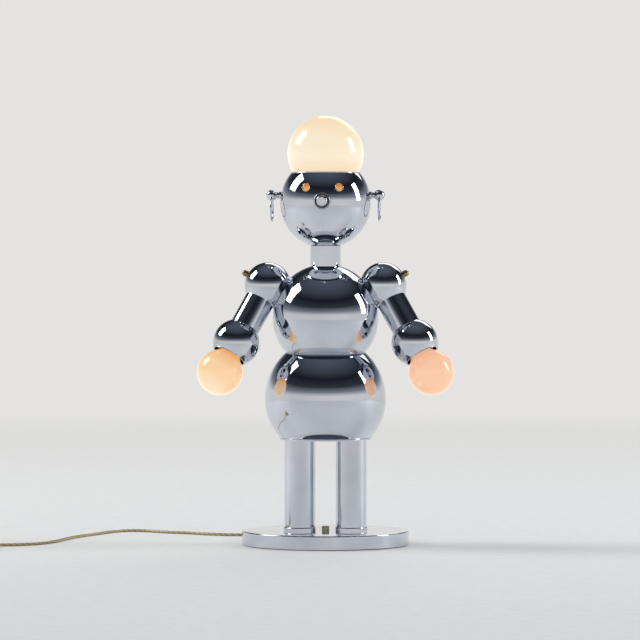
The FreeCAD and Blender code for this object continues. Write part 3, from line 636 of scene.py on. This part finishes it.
@dataclass
class NodeGroup:
    """A Geometry Nodes group with named inputs, used on an object and baked into its mesh.

    Attributes:
        name: The group's name.
        tree: The group itself.
    """

    name: str
    tree: bpy.types.NodeTree = field(init=False)

    def __post_init__(self) -> None:
        """Start the group with its geometry in and out."""
        self.tree = bpy.data.node_groups.new(self.name, "GeometryNodeTree")
        self.tree.interface.new_socket("Geometry", in_out="INPUT", socket_type="NodeSocketGeometry")
        self.tree.interface.new_socket("Geometry", in_out="OUTPUT", socket_type="NodeSocketGeometry")
        self.start = add_node(self.tree, "NodeGroupInput")
        self.end = add_node(self.tree, "NodeGroupOutput")

    def value(self, name: str, kind: str, default: Any = None) -> Any:
        """Add a named input.

        Args:
            name: The input's name.
            kind: Its socket type.
            default: Its value when nothing is set.

        Returns:
            The socket that carries it inside the group.
        """
        item = self.tree.interface.new_socket(name, in_out="INPUT", socket_type=kind)
        if default is not None:
            item.default_value = default
        return self.start.outputs[name]

    def close(self, geometry: Any, material: Any) -> None:
        """Realize the instances, set the material and end the group.

        Args:
            geometry: The socket with the finished geometry.
            material: The socket with the material.
        """
        real = add_node(self.tree, "GeometryNodeRealizeInstances", {"Geometry": geometry})
        smooth = add_node(self.tree, "GeometryNodeSetShadeSmooth", {"Geometry": real.outputs["Geometry"]})
        last = add_node(
            self.tree, "GeometryNodeSetMaterial", {"Geometry": smooth.outputs[0], "Material": material}
        )
        self.tree.links.new(last.outputs["Geometry"], self.end.inputs["Geometry"])

    def bake(self, piece: bpy.types.Object, values: dict[str, Any]) -> bpy.types.Object:
        """Run the group on an object and keep the result as its mesh.

        Args:
            piece: The object to work on.
            values: The group's inputs by name.

        Returns:
            The same object, with its new mesh and no modifier.
        """
        modifier = piece.modifiers.new(self.name, "NODES")
        modifier.node_group = self.tree
        for item in self.tree.interface.items_tree:
            if item.item_type == "SOCKET" and item.in_out == "INPUT" and item.name in values:
                modifier[item.identifier] = values[item.name]
        piece.update_tag()
        bpy.context.view_layer.update()
        graph = bpy.context.evaluated_depsgraph_get()
        mesh = bpy.data.meshes.new_from_object(piece.evaluated_get(graph), depsgraph=graph)
        piece.modifiers.clear()
        piece.data = mesh
        return piece


def tube_group() -> NodeGroup:
    """Make the group that sweeps a round section along a chain of edges.

    Returns:
        The group, with Radius, Sides and Material.
    """
    group = NodeGroup("Swept tube")
    tree = group.tree
    radius = group.value("Radius", "NodeSocketFloat", 0.001)
    sides = group.value("Sides", "NodeSocketInt", 16)
    material = group.value("Material", "NodeSocketMaterial")
    path = add_node(tree, "GeometryNodeMeshToCurve", {"Mesh": group.start.outputs["Geometry"]})
    length = add_node(tree, "GeometryNodeSplineParameter").outputs["Length"]
    marked = add_node(
        tree,
        "GeometryNodeStoreNamedAttribute",
        {"Geometry": path.outputs["Curve"], "Name": "along", "Value": length},
        data_type="FLOAT",
        domain="POINT",
    )
    circle = add_node(tree, "GeometryNodeCurvePrimitiveCircle", {"Resolution": sides, "Radius": radius})
    place = add_node(tree, "GeometryNodeInputPosition").outputs["Position"]
    spoke = add_node(tree, "ShaderNodeVectorMath", {0: place}, operation="NORMALIZE").outputs["Vector"]
    ring = add_node(
        tree,
        "GeometryNodeStoreNamedAttribute",
        {"Geometry": circle.outputs["Curve"], "Name": "ring"},
        data_type="FLOAT_VECTOR",
        domain="POINT",
    )
    tree.links.new(spoke, ring.inputs["Value"])
    swept = add_node(
        tree,
        "GeometryNodeCurveToMesh",
        {"Curve": marked.outputs["Geometry"], "Profile Curve": ring.outputs["Geometry"], "Fill Caps": True},
    )
    group.close(swept.outputs["Mesh"], material)
    return group


def ring_group() -> NodeGroup:
    """Make the group that sets a row of rings along Z, from one radius to another.

    Returns:
        The group, with Count, Length, First radius, Last radius, Wire and Material.
    """
    group = NodeGroup("Row of rings")
    tree = group.tree
    count = group.value("Count", "NodeSocketInt", 1)
    length = group.value("Length", "NodeSocketFloat", 0.0)
    first = group.value("First radius", "NodeSocketFloat", 0.01)
    last = group.value("Last radius", "NodeSocketFloat", 0.01)
    wire = group.value("Wire", "NodeSocketFloat", 0.001)
    material = group.value("Material", "NodeSocketMaterial")
    end = add_node(tree, "ShaderNodeCombineXYZ", {"Z": length}).outputs["Vector"]
    line = add_node(tree, "GeometryNodeMeshLine", {"Count": count, "Offset": end}, mode="END_POINTS")
    index = add_node(tree, "GeometryNodeInputIndex").outputs["Index"]
    steps = add_node(tree, "ShaderNodeMath", {0: count, 1: 1.0}, operation="SUBTRACT").outputs["Value"]
    whole = add_node(tree, "ShaderNodeMath", {0: steps, 1: 1.0}, operation="MAXIMUM").outputs["Value"]
    share = add_node(tree, "ShaderNodeMath", {0: index, 1: whole}, operation="DIVIDE").outputs["Value"]
    wide = span(tree, share, first, last)
    points = add_node(tree, "GeometryNodeMeshToPoints", {"Mesh": line.outputs["Mesh"]})
    circle = add_node(tree, "GeometryNodeCurvePrimitiveCircle", {"Resolution": ROUND_STEPS, "Radius": 1.0})
    rings = add_node(
        tree,
        "GeometryNodeInstanceOnPoints",
        {"Points": points.outputs["Points"], "Instance": circle.outputs["Curve"]},
    )
    scale = add_node(tree, "ShaderNodeCombineXYZ", {"X": wide, "Y": wide, "Z": 1.0}).outputs["Vector"]
    tree.links.new(scale, rings.inputs["Scale"])
    real = add_node(tree, "GeometryNodeRealizeInstances", {"Geometry": rings.outputs["Instances"]})
    section = add_node(tree, "GeometryNodeCurvePrimitiveCircle", {"Resolution": WIRE_STEPS, "Radius": wire})
    swept = add_node(
        tree,
        "GeometryNodeCurveToMesh",
        {"Curve": real.outputs["Geometry"], "Profile Curve": section.outputs["Curve"]},
    )
    group.close(swept.outputs["Mesh"], material)
    return group


@dataclass
class Workshop:
    """What every sub-assembly works with: the frame, its materials and its node groups.

    Attributes:
        frame: The loaded frame.
        materials: The materials made so far, by name.
        tubes: The group that sweeps a tube.
        rings: The group that makes a row of rings.
    """

    frame: dict[str, Any]
    materials: dict[str, bpy.types.Material] = field(default_factory=dict)
    tubes: NodeGroup = field(default_factory=tube_group)
    rings: NodeGroup = field(default_factory=ring_group)

    def material(self, finish: Finish) -> bpy.types.Material:
        """Get a finish's material, made once.

        Args:
            finish: The finish.

        Returns:
            Its material.
        """
        if finish.name not in self.materials:
            self.materials[finish.name] = finish.make()
        return self.materials[finish.name]

    def dress(self, finish: Finish, *nodes: str) -> None:
        """Give CAD nodes a finish.

        Args:
            finish: The finish.
            nodes: The names of the nodes.
        """
        for name in nodes:
            mesh = self.frame["nodes"][name].data
            mesh.materials.clear()
            mesh.materials.append(self.material(finish))
            LOG.info("%s: %s", name, finish.name)

    def dress_sides(self, finish: Finish, *stems: str) -> None:
        """Give both sides' CAD nodes a finish.

        Args:
            finish: The finish.
            stems: The nodes' names without their side.
        """
        for side in Side:
            self.dress(finish, *(f"{stem}_{side.word}" for stem in stems))

    def ring_row(
        self, name: str, finish: Finish, body: str, place: Matrix, radii: tuple[float, float], wire: float,
        count: int = 1, length: float = 0.0,
    ) -> bpy.types.Object:
        """Make a row of rings and let it ride on a body.

        Args:
            name: The piece's name.
            finish: Its finish.
            body: The body that it rides on.
            place: Where the first ring's centre and axis are.
            radii: The first and the last ring's radius.
            wire: The rings' own thickness, as a radius.
            count: How many rings.
            length: From the first ring to the last.

        Returns:
            The finished piece.
        """
        piece = new_object(name, line_mesh(name, [Vector(), Vector((0, 0, 0.001))]))
        values = {
            "Count": count,
            "Length": length,
            "First radius": radii[0],
            "Last radius": radii[1],
            "Wire": wire,
            "Material": self.material(finish),
        }
        self.rings.bake(piece, values)
        piece.data.transform(place)
        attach(piece, body)
        LOG.info("%s: %d rings on %s", name, count, body)
        return piece


# Sub-assemblies
@dataclass
class Base:
    """The weighted disc and the ribbed nut in its middle."""

    def build(self, shop: Workshop) -> None:
        """Dress the disc, its weight, pad and screw.

        Args:
            shop: The workshop.
        """
        shop.dress(CHROME, "base_cover")
        shop.dress(IRON, "base_weight")
        shop.dress(FELT, "base_pad")
        shop.dress(ZINC, "base_centre_screw")
        shop.dress(NICKEL, "base_thumb_nut")


@dataclass
class Body:
    """Legs, hips, torso and neck, with the rolled edges of the open balls.

    Attributes:
        hip_cut_z: The height of the hips' open lower edge.
        hip_rim_r: That edge's radius.
        waist_z: The height at which the torso sits on the hips.
        waist_r: The radius there.
        edge_r: The rolled edge's own radius.
    """

    hip_cut_z: float = 0.1335
    hip_rim_r: float = 0.0571
    waist_z: float = 0.2403
    waist_r: float = 0.0498
    edge_r: float = 0.0007

    def build(self, shop: Workshop) -> None:
        """Dress the body and add its rolled edges.

        Args:
            shop: The workshop.
        """
        shop.dress_sides(CHROME, "leg_tube", "foot_collar")
        shop.dress_sides(ZINC, "leg_rod")
        shop.dress(CHROME, "hip_ball", "hip_plate", "torso_ball", "neck_tube")
        shop.dress(ZINC, "leg_rod_washers", "leg_rod_nuts", "centre_pipe", "centre_pipe_nuts", "head_washer")
        for name, radius, height in (
            ("hip_rolled_edge", self.hip_rim_r, self.hip_cut_z),
            ("waist_rolled_edge", self.waist_r, self.waist_z),
        ):
            place = Matrix.Translation((0, 0, height))
            shop.ring_row(name, CHROME, "stand", place, (radius, radius), self.edge_r)


@dataclass
class Head:
    """The head ball with its eyes, nose, ears and globe bulb.

    Attributes:
        rim_z: The height of the head's open upper edge.
        rim_r: That edge's radius.
        edge_r: The rolled edge's own radius.
        globe_z: The height of the globe's centre.
        globe_r: The globe's radius.
        centre_z: The height of the head ball's centre.
        ball_r: The head ball's radius.
        turn: How far the head is turned on the neck.
        eye_side: From the middle to an eye.
        eye_rise: From the head's centre up to the eyes.
        bezel_r: The radius of the thin ring round an eye.
        bezel_edge_r: That ring's own thickness, as a radius.
        nose_out: From the head's centre to the rosette's front edge.
        nose_rise: From the head's centre up to the nose.
        rosette_r: The radius of the bead on the rosette's edge.
    """

    rim_z: float = 0.4645
    rim_r: float = 0.04314
    edge_r: float = 0.0007
    globe_z: float = 0.4885
    globe_r: float = 0.0475
    centre_z: float = 0.4274
    ball_r: float = 0.0569
    turn: float = math.radians(-4.3)
    eye_side: float = 0.0204
    eye_rise: float = 0.0182
    bezel_r: float = 0.0049
    bezel_edge_r: float = 0.0005
    nose_out: float = 0.0585
    nose_rise: float = 0.0012
    rosette_r: float = 0.0095

    def place(self, direction: Vector, out: float, rise: float = 0.0) -> Matrix:
        """Find a place on the turned head.

        Args:
            direction: The way out of the unturned head.
            out: How far out along it.
            rise: How far above the head's centre the way starts.

        Returns:
            The place, with Z pointing outwards.
        """
        aim = direction.normalized()
        lean = aim.to_track_quat("Z", "Y").to_matrix().to_4x4()
        inside = Matrix.Translation(Vector((0, 0, rise)) + aim * out) @ lean
        return Matrix.Translation((0, 0, self.centre_z)) @ Matrix.Rotation(self.turn, 4, "Z") @ inside

    def trims(self, shop: Workshop) -> None:
        """Add the bezels round the eyes and the bead on the nose's rosette.

        Args:
            shop: The workshop.
        """
        forward = -math.sqrt(self.ball_r**2 - self.eye_side**2 - self.eye_rise**2)
        reach = math.sqrt(self.ball_r**2 - self.bezel_r**2) + self.bezel_edge_r
        for side in Side:
            aim = Vector((side.value * self.eye_side, forward, self.eye_rise))
            radii = (self.bezel_r, self.bezel_r)
            place = self.place(aim, reach)
            shop.ring_row(f"eye_bezel_{side.word}", CHROME, "head", place, radii, self.bezel_edge_r)
        nose = self.place(Vector((0, -1, 0)), self.nose_out, self.nose_rise)
        shop.ring_row("nose_bead", CHROME, "head", nose, (self.rosette_r, self.rosette_r), self.bezel_edge_r)

    def build(self, shop: Workshop) -> None:
        """Dress the head and add its rolled edge.

        Args:
            shop: The workshop.
        """
        shop.dress(CHROME, "head_ball", "nose_knob")
        # The rosette's dark chrome is painted shade in the dish behind the knob
        shop.dress(SHADED_CHROME, "nose_rosette")
        shop.dress(PHENOLIC, "nose_switch", "head_lampholder")
        shop.dress_sides(CHROME, "ear_stud", "ear_ring")
        shop.dress(ZINC, "ear_nuts")
        shop.dress_sides(AmberLens("Moulded amber glass, lit", "amber_lens"), "eye_lens")
        shop.dress(CAP, "head_bulb_cap")
        glow = LitOpal(
            "Opal glass, lit, head globe", "opal_glass", centre=(0, 0, self.globe_z), radius=self.globe_r
        )
        shop.dress(glow, "head_bulb_glass")
        place = Matrix.Translation((0, 0, self.rim_z))
        shop.ring_row("head_rolled_edge", CHROME, "head", place, (self.rim_r, self.rim_r), self.edge_r)
        self.trims(shop)


@dataclass
class Arm:
    """One arm, from its pivot to the bulb in its hand.

    Attributes:
        side: Which arm it is.
        middle: The glow of its bulb.
        rim: The glow at its neck.
        crown: The glow at its far end.
        tilt: The pivot's angle above level.
        swing: How far the arm is swung forward.
        torso_z: The height of the torso's centre.
        pivot_out: From the torso's centre to the shoulder ball's.
        length: From the shoulder ball's centre to the hand ball's.
        bulb_out: From the hand ball's centre to the bulb's.
        bulb_r: The bulb's radius.
        mouth_out: From the hand ball's centre to its open edge.
        mouth_r: The open edge's radius.
        edge_r: The rolled edge's own radius.
    """

    side: Side
    middle: str
    rim: str
    crown: str
    tilt: float = math.radians(28.8)
    swing: float = math.radians(16.0)
    torso_z: float = 0.2842
    pivot_out: float = 0.0822
    length: float = 0.084
    bulb_out: float = 0.0435
    bulb_r: float = 0.0285
    mouth_out: float = 0.0192
    mouth_r: float = 0.022
    edge_r: float = 0.0006

    def place(self, out: float) -> Matrix:
        """Find a place on the arm's middle line.

        Args:
            out: The distance from the shoulder ball's centre.

        Returns:
            The place, with Z along the arm.
        """
        pivot = Vector((math.cos(self.tilt), 0, math.sin(self.tilt)))
        shoulder = Vector((0, 0, self.torso_z)) + pivot * self.pivot_out
        along = Matrix.Rotation(-self.swing, 3, "Z") @ Vector((1, 0, 0))
        along = Matrix.Rotation(math.pi / 2 - self.tilt, 3, "Y") @ along
        spot = shoulder + along * out
        mirror = Vector((self.side.value, 1, 1))
        along, spot = along * mirror, spot * mirror
        return Matrix.Translation(spot) @ along.to_track_quat("Z", "Y").to_matrix().to_4x4()

    def build(self, shop: Workshop) -> None:
        """Dress the arm and add its hand's rolled edge.

        Args:
            shop: The workshop.
        """
        word = self.side.word
        shop.dress(CHROME, f"shoulder_ball_{word}", f"arm_tube_{word}", f"hand_ball_{word}")
        shop.dress(ZINC, f"arm_rod_{word}", f"arm_fasteners_{word}")
        shop.dress(PHENOLIC, f"hand_lampholder_{word}")
        shop.dress(CAP, f"hand_bulb_cap_{word}")
        bulb = self.place(self.length + self.bulb_out)
        glow = LitOpal(
            f"Opal glass, lit, {word} hand",
            "opal_glass",
            middle=self.middle,
            rim=self.rim,
            crown=self.crown,
            centre=tuple(bulb.translation),
            axis=tuple(bulb.col[2].to_3d()),
            radius=self.bulb_r,
        )
        shop.dress(glow, f"hand_bulb_glass_{word}")
        mouth = self.place(self.length + self.mouth_out)
        radii = (self.mouth_r, self.mouth_r)
        shop.ring_row(f"hand_rolled_edge_{word}", CHROME, f"arm_{word}", mouth, radii, self.edge_r)


@dataclass
class Pivots:
    """The pivot rods, their nuts and the finials outside the shoulders."""

    def build(self, shop: Workshop) -> None:
        """Dress the pivots.

        Args:
            shop: The workshop.
        """
        shop.dress(ZINC, "pivot_rods", "pivot_nuts")
        shop.dress(BRASS, "pivot_finials")


@dataclass
class Flex:
    """The flex from the base to its plug: a free stretch, then a tied coil.

    Attributes:
        diameter: The flex's diameter.
        mouth: Where it leaves the strain relief.
        route: Where it runs on the table, in millimetres.
        coil_centre: The coil's centre.
        coil_start: The turn at which the flex enters the coil.
        turns: The turns of each of the coil's two layers.
        inner_r: The coil's inner radius.
        low_z: The height of its lower layer.
        step: From one turn to the next.
        run_in: The straight run before the coil.
        points_per_turn: Control points in each turn.
        length: The real length.
        sides: The faces round the flex.
        rib_place: The first rib's centre.
        rib_radii: The first and the last rib's radius.
        rib_wire: The ribs' own thickness, as a radius.
        rib_count: How many ribs.
        rib_length: From the first rib to the last.
    """

    diameter: float = 0.0036
    mouth: tuple[float, float, float] = (0, 0.1305, 0.0074)
    route: tuple[tuple[float, float, float], ...] = (
        (-2, 151, 3.6),
        (-17, 166, 1.8),
        (-45, 168, 1.8),
        (-77, 152, 1.8),
        (-112, 136, 1.8),
        (-144, 146, 1.8),
        (-172, 169, 1.8),
        (-205, 184, 1.8),
        (-232, 210, 1.8),
        (-259, 217, 1.8),
        (-281, 192, 1.8),
        (-297, 152, 1.8),
        (-318, 111, 1.8),
        (-331, 66, 1.8),
        (-341, 22, 1.8),
        (-358, -12, 1.8),
        (-388, -30, 1.8),
    )
    coil_centre: tuple[float, float, float] = (-0.437, -0.086, 0)
    coil_start: float = math.radians(130.0)
    turns: int = 4
    inner_r: float = 0.0122
    low_z: float = 0.0025
    step: float = 0.0041
    run_in: float = 0.03
    points_per_turn: int = 24
    length: float = 1.83
    sides: int = 16
    rib_place: tuple[float, float, float] = (0, 0.1075, 0.0074)
    rib_radii: tuple[float, float] = (0.0044, 0.00285)
    rib_wire: float = 0.00045
    rib_count: int = 8
    rib_length: float = 0.021

    def coil_point(self, angle: float) -> Vector:
        """Find a point of the coil's middle line.

        Args:
            angle: How far the flex has turned since it entered the coil.

        Returns:
            The point.
        """
        inward = 2 * math.pi * self.turns
        shrink = self.step / (2 * math.pi)
        climb = min(max(angle - inward, 0), math.pi)
        if angle <= inward:
            radius = self.inner_r + shrink * (inward - angle)
        elif angle <= inward + math.pi:
            radius = self.inner_r - shrink * math.sin(climb)
        else:
            radius = self.inner_r + shrink * (angle - inward - math.pi)
        height = self.low_z + self.step * (1 - math.cos(climb)) / 2
        turn = self.coil_start + angle
        return Vector(self.coil_centre) + Vector((radius * math.cos(turn), radius * math.sin(turn), height))

    def control_points(self) -> list[Vector]:
        """List the spline's control points from the strain relief to the plug.

        Returns:
            The points.
        """
        whole = 2 * math.pi * (2 * self.turns + 1)
        small = 1e-4
        entry, leave = self.coil_point(0), self.coil_point(whole)
        inward = (self.coil_point(small) - entry).normalized()
        outward = (leave - self.coil_point(whole - small)).normalized()
        before = entry - inward * self.diameter
        count = (2 * self.turns + 1) * self.points_per_turn
        coil = [self.coil_point(whole * i / count) for i in range(count + 1)]
        route = [Vector(p) * MM for p in self.route]
        return [
            Vector(self.mouth),
            *route,
            before - inward * self.run_in,
            before,
            *coil,
            leave + outward * self.diameter,
        ]

    def spline_points(self) -> list[Vector]:
        """Lay a smooth spline over the control points and read points along it.

        Returns:
            The points that the flex follows.
        """
        control = self.control_points()
        curve = bpy.data.curves.new("flex_line", "CURVE")
        curve.dimensions = "3D"
        curve.resolution_u = 5
        spline = curve.splines.new("NURBS")
        spline.points.add(len(control) - 1)
        for point, place in zip(spline.points, control):
            point.co = (*place, 1.0)
        spline.order_u = 3
        spline.use_endpoint_u = True
        line = new_object("flex_line", curve)
        bpy.context.view_layer.update()
        graph = bpy.context.evaluated_depsgraph_get()
        mesh = bpy.data.meshes.new_from_object(line.evaluated_get(graph), depsgraph=graph)
        points = [v.co.copy() for v in mesh.vertices]
        bpy.data.objects.remove(line)
        return points

    def build(self, shop: Workshop) -> None:
        """Args:
            shop: The workshop.
        """
        points = self.spline_points()
        flex = new_object("flex_cord", line_mesh("flex_cord", points))
        values = {"Radius": self.diameter / 2, "Sides": self.sides, "Material": shop.material(FLEX)}
        shop.tubes.bake(flex, values)
        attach(flex, "stand")
        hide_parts("flex_lead", "flex_coil")
        shop.dress(SLEEVE, "flex_gland")
        shop.dress(TIE, "coil_tie")
        shop.dress(PLUG, "plug_body")
        shop.dress(PIN, "plug_prongs")
        gland_ribs = self.gland_ribs(shop)
        LOG.info("flex: %d points, %.2f m", len(points), self.length)

    def gland_ribs(self, shop: Workshop) -> bpy.types.Object:
        """Make the ribs that let the strain relief bend.

        Args:
            shop: The workshop.

        Returns:
            The ribs.
        """
        place = Matrix.Translation(self.rib_place) @ Matrix.Rotation(-math.pi / 2, 4, "X")
        return shop.ring_row(
            "gland_ribs",
            SLEEVE,
            "stand",
            place,
            self.rib_radii,
            self.rib_wire,
            count=self.rib_count,
            length=self.rib_length,
        )


@dataclass(frozen=True)
class Lamp:
    """A soft lamp that faces the figure.

    Attributes:
        name: The lamp's name.
        place: Where it hangs.
        size: Its width and height.
        power: Its power in watts.
        colour: Its colour.
    """

    name: str
    place: tuple[float, float, float]
    size: tuple[float, float]
    power: float
    colour: str = "FFFFFF"

    def hang(self, aim: Vector) -> None:
        """Hang the lamp.

        Args:
            aim: The place that it faces.
        """
        data = bpy.data.lights.new(self.name, "AREA")
        data.shape = "RECTANGLE"
        data.size, data.size_y = self.size
        data.energy = self.power
        data.color = linear(self.colour)[:3]
        lamp = new_object(self.name, data)
        lamp.location = self.place
        lamp.rotation_euler = (aim - Vector(self.place)).to_track_quat("-Z", "Y").to_euler()


@dataclass
class Stage:
    """The floor, the lights and the camera.

    Attributes:
        floor_r: The floor's radius.
        floor_sides: The corners of its round edge.
        fade_from: Where the floor starts to fade into the background.
        fade_to: Where it has faded, as a share of its radius.
        lamps: The lamps.
        aim_z: The height that they face.
        plain_light: The strength of the world's plain light.
        camera_place: Where the camera is.
        camera_pitch: How far it looks down.
        lens: Its lens in millimetres.
        pale: The background's colour.
    """

    floor_r: float = 9.0
    floor_sides: int = 96
    fade_from: float = 0.9
    fade_to: float = 0.45
    lamps: tuple[Lamp, ...] = (
        Lamp("Key", (-3.1, 0.7, 2.6), (1.5, 1.9), 66.0),
        Lamp("Fill", (3.1, 0.1, 1.5), (0.7, 1.8), 36.0, "F4F8FF"),
        Lamp("Back", (0.9, 2.8, 2.4), (2.6, 1.4), 18.0),
    )
    aim_z: float = 0.28
    plain_light: float = 0.7
    camera_place: tuple[float, float, float] = (-0.0069, -4.5, 0.346)
    camera_pitch: float = math.radians(0.83)
    lens: float = 202.5
    pale: str = "E4E3E1"

    def camera(self) -> None:
        """Set up the camera at the photograph's angle."""
        data = bpy.data.cameras.new("Camera")
        data.lens = self.lens
        data.sensor_width = 36.0
        data.clip_end = 100.0
        camera = new_object("Camera", data)
        camera.location = self.camera_place
        camera.rotation_euler = (math.pi / 2 - self.camera_pitch, 0, 0)
        bpy.context.scene.camera = camera

    def lights(self) -> None:
        """Hang the soft lamps and set the world's plain light."""
        for lamp in self.lamps:
            lamp.hang(Vector((0, 0, self.aim_z)))
        world = bpy.data.worlds.new("Studio")
        world.use_nodes = True
        bpy.context.scene.world = world
        tree = world.node_tree
        tree.nodes.clear()
        direction = add_node(tree, "ShaderNodeTexCoord").outputs["Generated"]
        height = add_node(tree, "ShaderNodeSeparateXYZ", {0: direction}).outputs["Z"]
        share = add_node(
            tree, "ShaderNodeMapRange", {"Value": height, "From Min": -0.05, "From Max": 1.0}
        ).outputs["Result"]
        seen = ramp(
            tree,
            share,
            [
                (0.0, self.pale),
                (0.13, self.pale),
                (0.25, "868B94"),
                (0.4, "363A42"),
                (0.62, "1C1F25"),
                (1.0, "5A606B"),
            ],
        )
        background = add_node(tree, "ShaderNodeBackground", {"Color": seen, "Strength": 1.0})
        light = {"Color": linear("DADDE2"), "Strength": self.plain_light}
        plain = add_node(tree, "ShaderNodeBackground", light)
        ray = add_node(tree, "ShaderNodeLightPath")
        either = add_node(
            tree,
            "ShaderNodeMath",
            {0: ray.outputs["Is Camera Ray"], 1: ray.outputs["Is Glossy Ray"]},
            operation="MAXIMUM",
        ).outputs["Value"]
        shown = add_node(
            tree, "ShaderNodeMath", {0: either, 1: ray.outputs["Is Transmission Ray"]}, operation="MAXIMUM"
        ).outputs["Value"]
        mixed = add_node(
            tree, "ShaderNodeMixShader", {0: shown, 1: plain.outputs[0], 2: background.outputs[0]}
        )
        add_node(tree, "ShaderNodeOutputWorld", {"Surface": mixed.outputs[0]})

    def floor(self) -> None:
        """Lay the pale floor, which fades into the background far away."""
        mesh = bpy.data.meshes.new("Floor")
        count = self.floor_sides
        turns = [2 * math.pi * i / count for i in range(count)]
        ring = [(self.floor_r * math.cos(turn), self.floor_r * math.sin(turn), 0) for turn in turns]
        mesh.from_pydata(ring, [], [tuple(range(count))])
        floor = new_object("Floor", mesh)
        material = bpy.data.materials.new("Matt studio floor")
        material.use_nodes = True
        tree = material.node_tree
        shader = tree.nodes["Principled BSDF"]
        shader.inputs["Roughness"].default_value = 0.7
        place = add_node(tree, "ShaderNodeTexCoord").outputs["Object"]
        away = add_node(tree, "ShaderNodeVectorMath", {0: place}, operation="LENGTH").outputs["Value"]
        grain = add_node(tree, "ShaderNodeTexNoise", {"Vector": place, "Scale": 60.0}).outputs["Fac"]
        colour = ramp(tree, grain, [(0.3, "EAE9E6"), (0.7, "F0EFEC")])
        tree.links.new(colour, shader.inputs["Base Color"])
        reach = {"Value": away, "From Min": self.fade_from, "From Max": self.fade_to * self.floor_r}
        far = add_node(tree, "ShaderNodeMapRange", reach).outputs["Result"]
        glow = add_node(tree, "ShaderNodeEmission", {"Color": linear(self.pale), "Strength": 1.0})
        mixed = add_node(
            tree, "ShaderNodeMixShader", {0: far, 1: shader.outputs["BSDF"], 2: glow.outputs["Emission"]}
        )
        tree.links.new(mixed.outputs[0], tree.nodes["Material Output"].inputs["Surface"])
        mesh.materials.append(material)

    def build(self) -> None:
        """Set up everything that isn't part of the lamp."""
        scene = bpy.context.scene
        scene.view_settings.view_transform = "Standard"
        self.camera()
        self.lights()
        self.floor()


def main() -> None:
    """Build every sub-assembly in order."""
    logging.basicConfig(level=logging.INFO, format="%(name)s %(message)s")
    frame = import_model()
    Stage().build()
    shop = Workshop(frame)
    Flex().build(shop)
    Base().build(shop)
    Body().build(shop)
    Head().build(shop)
    Arm(Side.LEFT, middle="FFD6A6", rim="F2A35C", crown="FFE9C6").build(shop)
    Arm(Side.RIGHT, middle="FFCBA8", rim="F0AE88", crown="FCCBA6").build(shop)
    Pivots().build(shop)


if __name__ == "__main__":
    main()
